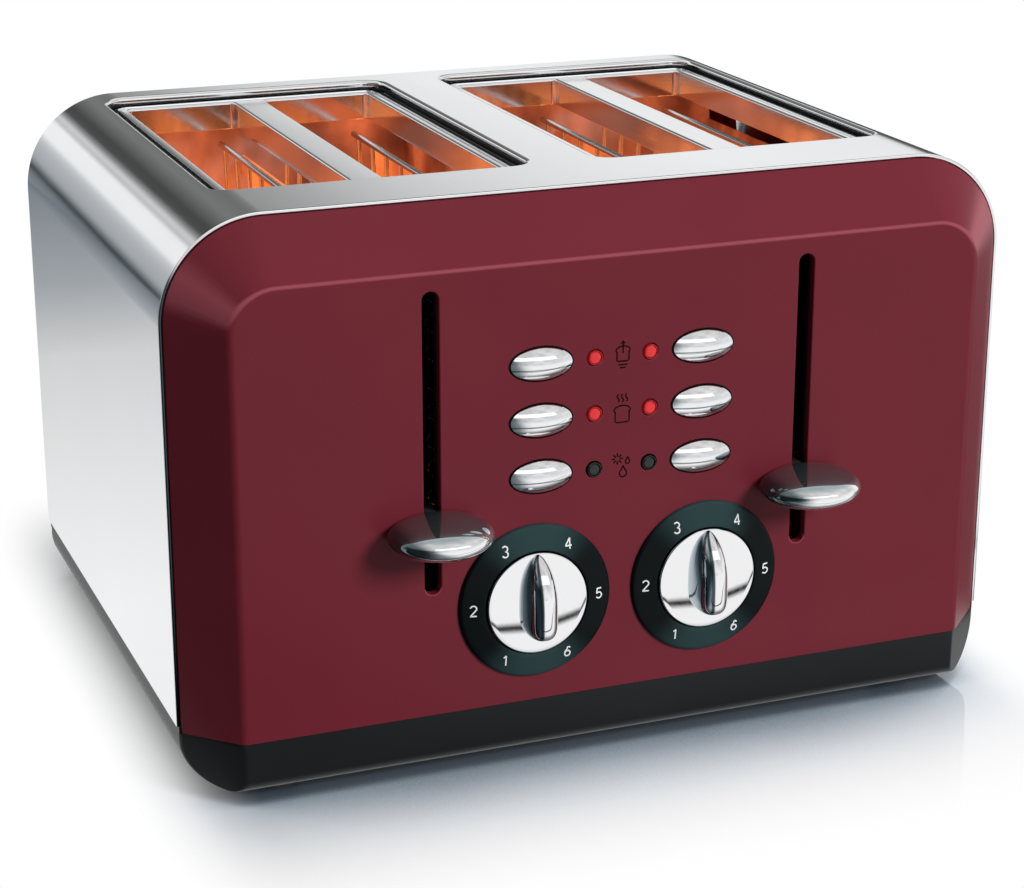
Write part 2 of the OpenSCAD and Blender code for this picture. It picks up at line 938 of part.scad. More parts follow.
module rod_tabs() {
  for (side = [left, right])
    mirror([side < 0 ? 1 : 0, 0, 0])
      translate([pair_x, 0, 0]) {
        box_between([-tab_half, rod_y - tab_reach, z_tab_low], [tab_half, chamber_front, z_tab_low + tab_t]);
        box_between(
          [-spring_tab_w, rod_y - tab_reach, z_tab_high],
          [tab_half, chamber_front, z_tab_high + tab_t]
        );
      }
}

module front_bulkhead() {
  color("lightsteelblue")
    on_side(right)
      difference() {
        union() {
          bulkhead_sheet(bulk_front);
          chassis_feet(bulk_front);
          rod_tabs();
        }
        foot_holes();
        for (side = [left, right])
          translate([side * pair_x, rod_y, z_tab_low - cut])
            cylinder(d = rod_dia + 2 * fit_gap, h = z_flange - z_tab_low);
      }
}

module rear_bulkhead() {
  color("lightsteelblue")
    on_side(right)
      difference() {
        union() {
          bulkhead_sheet(bulk_rear);
          chassis_feet(bulk_rear - chassis_foot_l);
        }
        foot_holes();
        at_rear_screws()
          y_rod(screw_dia + 2 * fit_gap, bulk_rear - cut, bulk_t + 2 * cut);
      }
}

module heat_shields() {
  side_x = bulk_half - shield_in;
  color("lightgray")
    on_side(right)
      for (x = [-side_x, 0, side_x])
        box_between(
          [x - shield_t / 2, chamber_front, z_base],
          [x + shield_t / 2, bulk_rear, z_flange - bulk_r]
        );
}

module small_screws() {
  color("dimgray")
    on_side(right) {
      at_bosses() {
        translate([0, 0, z_rail - screw_grip])
          cylinder(d = screw_dia, h = screw_grip + bulk_t + cut);
        translate([0, 0, z_rail + bulk_t])
          cylinder(d = screw_head_dia, h = screw_head_h);
      }
      at_posts() {
        y_rod(screw_dia, board_front - screw_grip, screw_grip + board_t + cut);
        y_rod(screw_head_dia, board_rear, screw_head_h);
      }
    }
}

// Heaters
module heater_cards(side) {
  notch_low = wire_low - notch_over;
  notch_high = wire_low + wire_loops * wire_pitch + notch_over;
  half = card_t / 2;
  color("wheat")
    on_side(side)
      for (x = [-card_x, 0, card_x])
        translate([pair_x + x, 0, 0])
          union() {
            box_between([-half, chamber_front, z_card_low], [half, bulk_rear, notch_low]);
            box_between(
              [-half, chamber_front + card_notch, z_card_low],
              [half, bulk_rear - card_notch, z_card_high]
            );
            box_between([-half, chamber_front, notch_high], [half, bulk_rear, z_card_high]);
            for (z = card_tabs())
              box_between([-half, bulk_front, z], [half, bulk_rear + bulk_t, z + card_tab_h]);
          }
}

module heater_wires(side) {
  color("orangered")
    on_side(side)
      for (x = [-card_x, 0, card_x])
        translate([pair_x + x, 0, 0])
          tube(wire_path(), wire_dia);
}

// Carriages
module guide_rod(side) {
  color("silver")
    on_side(side)
      translate([pair_x, rod_y, z_tab_low])
        cylinder(d = rod_dia, h = z_tab_high + tab_t - z_tab_low);
}

module carriage_spring(side) {
  color("gray")
    on_side(side)
      translate([pair_x - spring_x, rod_y, 0])
        tube(spring_path(), spring_wire);
}

module magnet(side) {
  color("peru")
    on_side(side)
      translate([pair_x + coil_x, 0, 0]) {
        box_between(
          [-coil_dia / 2, rod_y - coil_dia / 2, z_coil - tab_t],
          [coil_dia / 2, bulk_front, z_coil + slice]
        );
        translate([0, rod_y, z_coil])
          cylinder(d = coil_dia, h = coil_h);
        translate([0, rod_y, z_coil])
          cylinder(d = core_dia, h = coil_h + core_past);
      }
}

module carriage(side) {
  color("slategray")
    on_side(side)
      translate([pair_x, 0, 0])
        difference() {
          union() {
            translate([0, rod_y, z_armature])
              cylinder(d = bush_dia, h = bush_down + bush_up);
            box_between([-arm_t / 2, knob_y, z_knob - arm_h / 2], [arm_t / 2, rod_y, z_knob + arm_h / 2]);
            box_between([-arm_t / 2, rod_y, z_yoke], [arm_t / 2, yoke_y + yoke_t, z_yoke + yoke_h]);
            box_between(
              [-slot_pitch / 2, yoke_y, z_yoke],
              [slot_pitch / 2, yoke_y + yoke_t, z_yoke + yoke_h]
            );
            for (slot = [left, right])
              translate([slot * slot_pitch / 2, 0, 0])
                box_between([-leg_w / 2, yoke_y, z_lift], [leg_w / 2, yoke_y + yoke_t, z_yoke + yoke_h]);
            box_between(
              [0, rod_y - armature_half, z_armature],
              [coil_x + core_dia, rod_y + armature_half, z_armature + armature_t]
            );
            box_between(
              [-spring_tab_w, rod_y - spring_tab_half, z_yoke],
              [0, rod_y + spring_tab_half, z_spring]
            );
          }
          translate([0, rod_y, z_armature - cut])
            cylinder(d = rod_dia + 2 * fit_gap, h = bush_down + bush_up + 2 * cut);
        }
}

module bread_lift(side) {
  color("silver")
    on_side(side)
      for (slot = [left, right])
        translate([pair_x + slot * slot_pitch / 2, 0, 0]) {
          box_between(
            [-web_t / 2, yoke_y + yoke_t, z_lift],
            [web_t / 2, bulk_rear + bulk_t + tail_past, z_lift + web_h]
          );
          box_between(
            [-plate_w / 2, slot_front + plate_short, z_lift + web_h - slice],
            [plate_w / 2, slot_front + slot_l - plate_short, z_lift + web_h + plate_t]
          );
        }
}

module lever_knob(side) {
  pocket_t = arm_t / 2 + fit_gap;
  pocket_h = arm_h / 2 + fit_gap;
  color("whitesmoke")
    on_side(side)
      translate([pair_x, 0, z_knob])
        difference() {
          intersection() {
            translate([0, knob_y, 0])
              scale([knob_w / 2, knob_swell, knob_h / 2])
                sphere(1);
            box_between([-knob_w, -knob_gap - knob_d - cut, -knob_h], [knob_w, -knob_gap, knob_h]);
          }
          box_between([-pocket_t, knob_y - fit_gap, -pocket_h], [pocket_t, cut, pocket_h]);
        }
}

// Bread guides, counted outwards from the middle of the toaster
module bread_guide(side, index) {
  slot = index < 3 ? left : right;
  wall = index % 2 == 1 ? left : right;
  pitch = slot_l / guide_wires;
  color("lightgray")
    on_side(side)
      translate([pair_x + slot * slot_pitch / 2 + wall * guide_x, 0, z_pivot])
        rotate([0, -wall * guide_lean, 0]) {
          y_rod(guide_rod_dia, bulk_front - guide_past, bulk_rear + bulk_t - bulk_front + 2 * guide_past);
          for (i = [0:guide_wires - 1])
            translate([0, slot_front + (i + 0.5) * pitch, 0])
              cylinder(d = guide_wire_dia, h = guide_h);
          translate([0, 0, guide_h])
            y_rod(guide_rod_dia, slot_front + guide_rod_dia, slot_l - 2 * guide_rod_dia);
        }
}

// Controls
module control_board() {
  color("darkgreen")
    on_side(right)
      difference() {
        box_between([-board_half, board_front, board_low], [board_half, board_rear, board_high]);
        at_posts()
          y_rod(screw_dia + 2 * fit_gap, board_front - cut, board_t + 2 * cut);
      }
}

module push_switches() {
  half = switch_w / 2;
  color("#303030")
    on_side(right)
      at_buttons()
        box_between([-half, board_front - switch_h, -half], [half, board_front, half]);
}

module lamps(rows, tint) {
  color(tint)
    on_side(right)
      at_lamps(rows) {
        intersection() {
          y_rod(lamp_dia, -lamp_proud - cut, lamp_proud + panel_wall);
          translate([0, lamp_cap_r - lamp_proud, 0])
            sphere(lamp_cap_r);
        }
        y_rod(lamp_dia - 2 * lamp_step, lamp_step, board_front - lamp_step);
      }
}

module at_dial(side) {
  on_side(side)
    translate([dial_x, 0, z_base + dial_z])
      children();
}

module potentiometer(side) {
  color("#4a4a4a")
    at_dial(side)
      difference() {
        y_rod(pot_dia, board_front - pot_d, pot_d);
        y_rod(shaft_dia + 2 * fit_gap, board_front - pot_d - cut, pot_d - pot_end + cut);
      }
}

module scale_ring(side) {
  inner = disc_dia / 2 + dial_gap;
  outer = ring_dia / 2;
  color("#141c1e")
    at_dial(side)
      rotate([90, 0, 0])
        rotate_extrude()
          polygon([
            [inner, 0], [outer, 0], [outer, ring_edge / 2], [outer - ring_round / 2, ring_edge],
            [inner + ring_round, ring_h], [inner, ring_h]
          ]);
}

module dial_shaft(side) {
  color("silver")
    at_dial(side)
      y_rod(shaft_dia, shaft_in - disc_h, shaft_end - shaft_in + disc_h);
}

// Finger grip: a fin that runs to a point at the top of the disc and is round at its lower end
module grip_post(r, z, h) {
  translate([0, cut - disc_h, z])
    rotate([90, 0, 0])
      cylinder(r = r, h = cut + h, $fn = 32);
}

module grip_fin() {
  hull() {
    grip_post(grip_w / 2, 0, grip_side_h);
    grip_post(grip_w / 2, -grip_heel, grip_side_h);
    grip_post(grip_crest_r, 0, grip_h);
    grip_post(grip_crest_r, -grip_heel, grip_h - grip_fall);
    grip_post(grip_tip_r, grip_shoulder, grip_h - grip_fall);
    grip_post(grip_tip_r, grip_tip, grip_tip_h);
  }
}

module dial_knob(side) {
  r = disc_dia / 2;
  color("whitesmoke")
    at_dial(side)
      difference() {
        union() {
          rotate([90, 0, 0])
            rotate_extrude()
              polygon([
                [0, dial_gap], [r, dial_gap], [r, disc_h - disc_edge],
                [r - disc_edge, disc_h], [0, disc_h]
              ]);
          y_rod(hub_dia, -dial_gap - cut, hub_end + dial_gap + cut);
          grip_fin();
        }
        y_rod(shaft_dia + 2 * fit_gap, shaft_in - disc_h - fit_gap, hub_end + disc_h + cut);
      }
}

module button(side, row) {
  seat = panel_wall + air;
  color("whitesmoke")
    on_side(side)
      translate([button_x, 0, row_z(row)]) {
        intersection() {
          oval_rod(button_w, button_h, -button_proud - cut, button_proud + button_back + cut);
          scale([dome_spread * button_w / 2, button_proud, dome_spread * button_h / 2])
            sphere(1);
        }
        oval_rod(
          button_w - 2 * button_step,
          button_h - 2 * button_step,
          button_back / 2,
          seat + button_flange_t / 2 - button_back / 2
        );
        oval_rod(button_w + 2 * button_flange, button_h + 2 * button_flange, seat, button_flange_t);
        y_rod(stem_dia, seat, stem_end - seat);
      }
}

// Crumb trays
module crumb_tray(side) {
  rear = shell_d - base_inset;
  low = z_floor + tray_gap;
  color("darkgray")
    on_side(side)
      translate([pair_x, 0, 0]) {
        difference() {
          box_between([-tray_half, tray_front, low], [tray_half, rear, low + tray_h]);
          box_between(
            [tray_t - tray_half, tray_front + tray_t, low + tray_t],
            [tray_half - tray_t, rear - base_wall, low + tray_h + cut]
          );
        }
        box_between(
          [-grip_half, rear - cut, low + tray_h - grip_lip],
          [grip_half, shell_d + rear_proud, low + tray_h]
        );
      }
}

steel_sleeve();
front_panel();
rear_panel();
base();
feet();
slot_frame(left);  // slot_frame_left
slot_frame(right);  // slot_frame_right
cord_gland();
terminal_block();
rear_screws();
front_bulkhead();
rear_bulkhead();
heat_shields();
small_screws();
heater_cards(left);  // heater_cards_left
heater_cards(right);  // heater_cards_right
heater_wires(left);  // heater_wires_left
heater_wires(right);  // heater_wires_right
guide_rod(left);  // guide_rod_left
guide_rod(right);  // guide_rod_right
carriage_spring(left);  // carriage_spring_left
carriage_spring(right);  // carriage_spring_right
magnet(left);  // magnet_left
magnet(right);  // magnet_right
control_board();
push_switches();
lamps([1:2], "red");  // lamps_lit
lamps([3], "#192828");  // lamps_dark
potentiometer(left);  // potentiometer_left
potentiometer(right);  // potentiometer_right
scale_ring(left);  // scale_ring_left
scale_ring(right);  // scale_ring_right
dial_shaft(left);  // dial_shaft_left
dial_shaft(right);  // dial_shaft_right
dial_knob(left);  // dial_knob_left
dial_knob(right);  // dial_knob_right
button(left, 1);  // button_left_1
button(left, 2);  // button_left_2
button(left, 3);  // button_left_3
button(right, 1);  // button_right_1
button(right, 2);  // button_right_2
button(right, 3);  // button_right_3
carriage(left);  // carriage_left
carriage(right);  // carriage_right
bread_lift(left);  // bread_lift_left
bread_lift(right);  // bread_lift_right
lever_knob(left);  // lever_knob_left
lever_knob(right);  // lever_knob_right
bread_guide(left, 1);  // bread_guide_left_1
bread_guide(left, 2);  // bread_guide_left_2
bread_guide(left, 3);  // bread_guide_left_3
bread_guide(left, 4);  // bread_guide_left_4
bread_guide(right, 1);  // bread_guide_right_1
bread_guide(right, 2);  // bread_guide_right_2
bread_guide(right, 3);  // bread_guide_right_3
bread_guide(right, 4);  // bread_guide_right_4
crumb_tray(left);  // crumb_tray_left
crumb_tray(right);  // crumb_tray_right
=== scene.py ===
import math

import bmesh
import bpy
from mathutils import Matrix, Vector
from mathutils.geometry import delaunay_2d_cdt


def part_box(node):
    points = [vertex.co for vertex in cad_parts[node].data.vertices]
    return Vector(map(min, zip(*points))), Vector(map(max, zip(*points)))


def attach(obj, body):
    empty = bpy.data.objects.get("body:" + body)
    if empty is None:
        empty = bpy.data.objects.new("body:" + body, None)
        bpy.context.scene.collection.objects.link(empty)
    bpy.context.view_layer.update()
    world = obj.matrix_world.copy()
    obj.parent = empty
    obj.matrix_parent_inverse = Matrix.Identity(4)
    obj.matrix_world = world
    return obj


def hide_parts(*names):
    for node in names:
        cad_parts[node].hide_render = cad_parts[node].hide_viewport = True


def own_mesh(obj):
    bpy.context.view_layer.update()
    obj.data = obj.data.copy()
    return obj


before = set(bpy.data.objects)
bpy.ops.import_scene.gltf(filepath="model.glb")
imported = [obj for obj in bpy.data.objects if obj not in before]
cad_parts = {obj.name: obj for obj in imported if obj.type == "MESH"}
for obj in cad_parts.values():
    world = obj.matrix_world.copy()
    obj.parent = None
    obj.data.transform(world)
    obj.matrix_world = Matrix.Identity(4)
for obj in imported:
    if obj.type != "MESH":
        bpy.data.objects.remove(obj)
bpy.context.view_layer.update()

# Sizes in millimetres: places come from the parts in model.glb, and the rest repeats the driving sizes
# of the solids
MM = 0.001


def span(node):
    low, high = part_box(node)
    return low / MM, high / MM


def centre_of(node):
    low, high = span(node)
    return (low + high) / 2


sleeve_low, sleeve_high = span("steel_sleeve")
HALF = sleeve_high.x
Z_SLEEVE, Z_TOP = sleeve_low.z, sleeve_high.z
SLEEVE_FRONT, SLEEVE_REAR = sleeve_low.y, sleeve_high.y
PAD, Z_BASE = span("front_panel")[0].yz
BACK = span("rear_panel")[1].y
FRONT_BEVEL, REAR_BEVEL = SLEEVE_FRONT - PAD, BACK - SLEEVE_REAR
FOOT_H = span("feet")[1].z
PAIR_X = centre_of("lever_knob_right").x

SHEET, SEAM, WALL = 1.2, 0.3, 3.0
SLEEVE_R = 34.5
PANEL_W = 2 * (HALF - SHEET - SEAM)
PANEL_H = Z_TOP - Z_BASE - SHEET - SEAM
PANEL_R = SLEEVE_R - SHEET - SEAM
BEVEL_SIDE, BEVEL_TOP = 16.8, 18.5
PAD_W = PANEL_W - 2 * BEVEL_SIDE
PAD_H = PANEL_H - BEVEL_TOP
PAD_R, RIDGE_R = 15.5, 4.0
PANEL_LAND, RIM_REACH = 2.0, 6.0
BEVEL_TURN = math.radians(45)

OPEN_W, OPEN_L, OPEN_R = 109.6, 164.6, 8.0
OPEN_Y = centre_of("slot_frame_right").y
LIP_H = 4.5
SLOT_W, SLOT_L, SLOT_R, SLOT_PITCH = 41.5, 150.0, 2.0, 53.5
TROUGH, RIM_DROP = 3.5, 3.0
FLANGE_W, FLANGE_T, SKIRT_H = 5.0, 1.2, 8.0

LEVER_SLOT_W, LEVER_LOW, LEVER_HIGH = 5.6, 66.1, 168.4
ARM_HALF, ARM_RISE = 2.0, 5.0
DIAL_X, DIAL_Z, HUB_HOLE_R = 31.0, 59.0, 9.0
BUTTON_X, BUTTON_W, BUTTON_H, BUTTON_PROUD = 28.8, 21.4, 10.9, 3.4
BUTTON_GAP, BUTTON_SOFT = 0.5, 0.12
ROWS = (140.8, 121.55, 102.3)
LAMP_X, LAMP_R, LAMP_GAP = 9.9, 2.6, 0.3

SIDES = {"left": -1, "right": 1}
HOUSING = "housing"
QUARTER, TURN = math.pi / 2, 2 * math.pi
# Where the middle of a small rounded edge lies, as a share of the edge
ROUND = 0.3


# Mesh tools
def arc(start, end, steps):
    """Cosines and sines of evenly spaced angles, the last one included."""
    angles = [start + (end - start) * i / steps for i in range(steps + 1)]
    return [(math.cos(a), math.sin(a)) for a in angles]


def arch(width, height, radius, steps=20):
    """Open outline from the lower left, over two rounded corners, to the lower right."""
    points = [(-width / 2, 0.0)]
    for side, start in ((-1, math.pi), (1, QUARTER)):
        for c, s in arc(start, start - QUARTER, steps):
            points.append((side * (width / 2 - radius) + radius * c, height - radius + radius * s))
    return points + [(width / 2, 0.0)]


def round_rect(width, length, radius, steps=10):
    points = []
    u, v = width / 2 - radius, length / 2 - radius
    for i, (sx, sy) in enumerate(((1, 1), (-1, 1), (-1, -1), (1, -1))):
        for c, s in arc(QUARTER * i, QUARTER * (i + 1), steps):
            points.append((sx * u + radius * c, sy * v + radius * s))
    return points


def oval(width, height, count):
    return [(width / 2 * c, height / 2 * s) for c, s in arc(0, TURN, count)[:-1]]


def turned(u, v, height, centre, axis):
    """A point at (u, v) across an axis and at a height along it."""
    x, y, z = centre
    if axis == "+Z":
        return (x + u, y + v, z + height)
    return (x + u, y + (height if axis == "+Y" else -height), z + v)


def corners(node, inset, other):
    """Four points in from the corners of a node's box, along x and one other axis."""
    low, high = span(node)
    ends = [(low[axis] + inset, high[axis] - inset) for axis in (0, other)]
    return [(x, w) for x in ends[0] for w in ends[1]]


def add_object(name, data):
    thing = bpy.data.objects.new(name, data)
    bpy.context.scene.collection.objects.link(thing)
    return thing


class Build:
    """A mesh in the making. Points are in millimetres."""

    def __init__(self):
        self.bm = bmesh.new()

    def ring(self, points):
        return [self.bm.verts.new(Vector(p) * MM) for p in points]

    def bridge(self, a, b, closed=True, skip=()):
        count = len(a)
        for i in range(count if closed else count - 1):
            j = (i + 1) % count
            if i not in skip:
                self.bm.faces.new((a[i], a[j], b[j], b[i]))

    def fan(self, pole, rim):
        for a, b in zip(rim, rim[1:] + rim[:1]):
            self.bm.faces.new((pole, a, b))

    def loft(self, outlines, closed=True, caps=False):
        rings = [self.ring(points) for points in outlines]
        for a, b in zip(rings, rings[1:]):
            self.bridge(a, b, closed)
        if caps:
            self.bm.faces.new(rings[0])
            self.bm.faces.new(rings[-1])
        return rings

    def fill(self, loops):
        edges = []
        for loop in loops:
            for pair in zip(loop, loop[1:] + loop[:1]):
                edges.append(self.bm.edges.get(pair) or self.bm.edges.new(pair))
        bmesh.ops.triangle_fill(self.bm, use_beauty=True, edges=edges)

    def lathe(self, profile, centre, axis="-Y", count=64, wrap=False):
        """Turns (radius, height) pairs about an axis through centre. A radius of 0 is a pole."""
        rings = []
        for radius, height in profile:
            points = oval(2 * radius, 2 * radius, count if radius else 1)
            rings.append(self.ring([turned(u, v, height, centre, axis) for u, v in points]))
        for a, b in zip(rings, rings[1:] + (rings[:1] if wrap else [])):
            if len(a) == len(b):
                self.bridge(a, b)
            else:
                pole, rim = sorted((a, b), key=len)
                self.fan(pole[0], rim)

    def tube(self, path, radius, sides=10):
        """Sweeps a circle along a list of (point, sideways direction) pairs."""
        rings = []
        last = len(path) - 1
        for i, (point, side) in enumerate(path):
            along = (Vector(path[min(i + 1, last)][0]) - Vector(path[max(i - 1, 0)][0])).normalized()
            n = Vector(side)
            n = (n - n.dot(along) * along).normalized()
            b = along.cross(n)
            rings.append([Vector(point) + u * n + v * b for u, v in oval(2 * radius, 2 * radius, sides)])
        self.loft(rings, caps=True)

    def block(self, low, high):
        (x0, y0, z0), (x1, y1, z1) = low, high
        self.loft([[(x0, y0, z), (x1, y0, z), (x1, y1, z), (x0, y1, z)] for z in (z0, z1)], caps=True)

    def mesh(self, name):
        bmesh.ops.recalc_face_normals(self.bm, faces=self.bm.faces)
        mesh = bpy.data.meshes.new(name)
        self.bm.to_mesh(mesh)
        self.bm.free()
        return mesh

    def piece(self, name, material, slot=None, body=HOUSING, solid=True, sharp=35, weighted=True):
        """Makes the mesh a piece on a body. With solid, it stands for the CAD node of its name."""
        mesh = self.mesh(name)
        mesh.shade_smooth()
        mesh.set_sharp_from_angle(angle=math.radians(sharp))
        mesh.materials.append(material)
        piece = add_object(name, mesh)
        if weighted:
            piece.modifiers.new("normals", "WEIGHTED_NORMAL").keep_sharp = True
        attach(piece, body)
        if solid:
            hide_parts(name)
        return piece

    def trim(self, name, material, slot=None, sharp=35):
        """A thin piece without a solid of its own."""
        self.piece(name, material, slot, solid=False, sharp=sharp, weighted=False)


def carve(piece, cutter):
    """Cuts a closed shape out of a piece for good."""
    tool = add_object("cutter", cutter.mesh("cutter"))
    others = list(piece.modifiers)
    for other in others:
        other.show_viewport = False
    cut = piece.modifiers.new("cut", "BOOLEAN")
    cut.operation, cut.solver, cut.object = "DIFFERENCE", "EXACT", tool
    bpy.context.view_layer.update()
    cut_piece = piece.evaluated_get(bpy.context.evaluated_depsgraph_get())
    piece.data = bpy.data.meshes.new_from_object(cut_piece)
    piece.modifiers.remove(cut)
    for other in others:
        other.show_viewport = True
    bpy.data.objects.remove(tool)


# Node tools: each adds nodes to a tree and gives back what comes out of them
WHITE = (1, 1, 1, 1)


def add_node(tree, kind, links=(), **settings):
    """A node with its settings. Its inputs, by index or name, take outputs of other nodes or values."""
    node = tree.nodes.new("ShaderNode" + kind)
    for key, value in settings.items():
        setattr(node, key, value)
    for socket, value in links:
        if isinstance(value, bpy.types.NodeSocket):
            tree.links.new(value, node.inputs[socket])
        else:
            node.inputs[socket].default_value = value
    return node


def maths(tree, operation, *values):
    return add_node(tree, "Math", enumerate(values), operation=operation).outputs["Value"]


def vector_maths(tree, operation, *values):
    return add_node(tree, "VectorMath", enumerate(values), operation=operation).outputs["Vector"]


def parts(tree, vector):
    """The X, Y and Z of a vector."""
    return add_node(tree, "SeparateXYZ", [("Vector", vector)]).outputs


def place_on(tree):
    return add_node(tree, "TexCoord").outputs["Object"]


def facing(tree):
    return add_node(tree, "NewGeometry").outputs["Normal"]


def between(tree, value, start, end, low=0.0, high=1.0, smooth=False):
    """Runs from low to high as a value goes from start to end."""
    links = [("Value", value), ("From Min", start), ("From Max", end), ("To Min", low), ("To Max", high)]
    kind = "SMOOTHSTEP" if smooth else "LINEAR"
    return add_node(tree, "MapRange", links, interpolation_type=kind).outputs["Result"]


def mixed(tree, factor, first, second, blend="MIX"):
    links = [(0, factor), (6, first), (7, second)]
    return add_node(tree, "Mix", links, data_type="RGBA", blend_type=blend).outputs[2]


def ramped(tree, value, stops, kind="LINEAR"):
    node = add_node(tree, "ValToRGB", [("Fac", value)])
    ramp = node.color_ramp
    ramp.interpolation = kind
    while len(ramp.elements) < len(stops):
        ramp.elements.new(0.5)
    for element, (position, color) in zip(ramp.elements, stops):
        element.position = position
        element.color = (*color, 1)
    return node.outputs["Color"]


def noise(tree, scale, detail=3.0, stretch=(1, 1, 1)):
    where = add_node(tree, "Mapping", [("Vector", place_on(tree)), ("Scale", stretch)]).outputs["Vector"]
    links = [("Vector", where), ("Scale", scale), ("Detail", detail)]
    return add_node(tree, "TexNoise", links).outputs["Fac"]


# Materials
NOISE_LOW, NOISE_HIGH = 0.3, 0.7
CLOUD = 18.0
FINE, MOULDED, COARSE = 0.00001, 0.00002, 0.00004
BRUSHED = (1.0, 0.02, 1.0)
CHROME = (0.86, 0.86, 0.87)


def new_material(name):
    material = bpy.data.materials.new(name)
    material.use_nodes = True
    return material, material.node_tree


def inputs(material):
    return material.node_tree.nodes["Principled BSDF"].inputs


def drive(material, socket, value):
    material.node_tree.links.new(value, inputs(material)[socket])


def vary(material, source, socket, low, high):
    """Drives a socket of the shader from a texture, between two numbers or two colours."""
    tree = material.node_tree
    if isinstance(low, tuple):
        drive(material, socket, ramped(tree, source, [(NOISE_LOW, low), (NOISE_HIGH, high)]))
    else:
        drive(material, socket, between(tree, source, NOISE_LOW, NOISE_HIGH, low, high))


def tinted(color, factor):
    return tuple(c * factor for c in color)


def finish(name, color, rough, metallic=0.0, spread=0.06, grain=900, relief=0.05, depth=MOULDED,
           stretch=(1, 1, 1), **sockets):
    """A surface with its own small changes of colour, gloss and relief."""
    material, tree = new_material(name)
    values = {"Base_Color": (*color, 1), "Roughness": rough[0], "Metallic": metallic, **sockets}
    for socket, value in values.items():
        inputs(material)[socket.replace("_", " ")].default_value = value
    cloud, fine = noise(tree, CLOUD), noise(tree, grain, stretch=stretch)
    vary(material, cloud, "Base Color", tinted(color, 1 - spread), tinted(color, 1 + spread))
    vary(material, fine, "Roughness", *rough)
    height = add_node(tree, "Bump", [("Strength", relief), ("Distance", depth), ("Height", fine)])
    drive(material, "Normal", height.outputs["Normal"])
    return material


def polished(name, rough, metallic=1.0):
    return finish(name, CHROME, rough, metallic, 0.015, 700, 0.01, FINE)


steel = finish("brushed_sleeve_steel", (0.80, 0.81, 0.82), (0.08, 0.12), 1.0, 0.015, 1400, 0.02,
               FINE, BRUSHED)
red = finish("red_panel_lacquer", (0.146, 0.0166, 0.0268), (0.27, 0.33), 0.0, 0.035, 2600, 0.06, FINE,
             Specular_IOR_Level=0.14)
black = finish("black_base_plastic", (0.0125, 0.0135, 0.0145), (0.34, 0.44), 0.0, 0.10, 3200, 0.12,
               Specular_IOR_Level=0.16)
rubber = finish("foot_rubber", (0.02, 0.02, 0.02), (0.7, 0.85), 0.0, 0.15, 2600, 0.2, COARSE)
bright = finish("bright_slot_frame", (0.82, 0.83, 0.84), (0.10, 0.16), 1.0, 0.02, 1400, 0.02,
                FINE, BRUSHED)
dial_black = finish("dial_ring_black", (0.006, 0.010, 0.011), (0.30, 0.38), 0.0, 0.10, 3000, 0.06, FINE,
                    Specular_IOR_Level=0.1)
knob_chrome = polished("knob_chrome", (0.04, 0.07), 0.94)
dial_chrome = polished("dial_chrome", (0.03, 0.06))
button_chrome = polished("button_chrome", (0.04, 0.07))
print_white = finish("dial_print_white", (0.85, 0.87, 0.87), (0.45, 0.55), 0.0, 0.03)
# Black for the printed symbols, and for the strips that stand in for shade in the lever slots, the frame
# troughs and the button gaps
print_and_shade_black = finish("print_and_painted_shade_black", (0.004, 0.003, 0.003), (0.5, 0.6), 0.0, 0.1,
                     Specular_IOR_Level=0.05)
galvanised = finish("galvanised_sheet", (0.50, 0.51, 0.53), (0.30, 0.45), 1.0, 0.12, 260, 0.08, 0.00003)
plated = finish("plated_wire", (0.62, 0.61, 0.60), (0.16, 0.26), 1.0, 0.08, 900, 0.04, FINE)
zinc = finish("zinc_screws", (0.46, 0.46, 0.47), (0.25, 0.38), 1.0, 0.10, 900, 0.05, FINE)
spring_steel = finish("spring_steel", (0.42, 0.42, 0.43), (0.2, 0.32), 1.0, 0.10, 1200, 0.05, FINE)
copper = finish("coil_copper", (0.55, 0.23, 0.09), (0.28, 0.42), 1.0, 0.12, 1600, 0.25,
                0.00006, (1, 1, 12))
board = finish("board_green", (0.018, 0.085, 0.035), (0.35, 0.5), 0.0, 0.15, 1200, 0.08)
dark_parts = finish("dark_small_parts", (0.025, 0.026, 0.028), (0.4, 0.55), 0.0, 0.12, 1800, 0.1)
ivory = finish("terminal_ivory", (0.62, 0.58, 0.48), (0.4, 0.55), 0.0, 0.06, 1800, 0.08)


def glow(material, source, dark, lit, strength, least):
    """Light from a surface that comes and goes over it, down to a share of its strength."""
    vary(material, source, "Emission Color", dark, lit)
    vary(material, source, "Emission Strength", strength * least, strength)


# Glow: the wires' own heat, and on the mica and the sheets painted light from the wires
def heat_glow_and_heater_light(name, color, dark, lit, strength, scale, stretch=(1, 1, 1)):
    material = finish(name, color, (0.4, 0.6), 0.0, 0.15, 900, 0.15, COARSE)
    glow(material, noise(material.node_tree, scale, 4.0, stretch), dark, lit, strength, 0.35)
    return material


def lens(name, color, dark=None, strength=0.0):
    """A small moulded lens, lit from inside where it has a strength."""
    material = finish(name, tinted(color, 0.4), (0.10, 0.16), 0.0, 0.05, 900, 0.02, FINE, IOR=1.5)
    if strength:
        glow(material, noise(material.node_tree, 700.0, 2.0), dark, color, strength, 0.85)
    return material


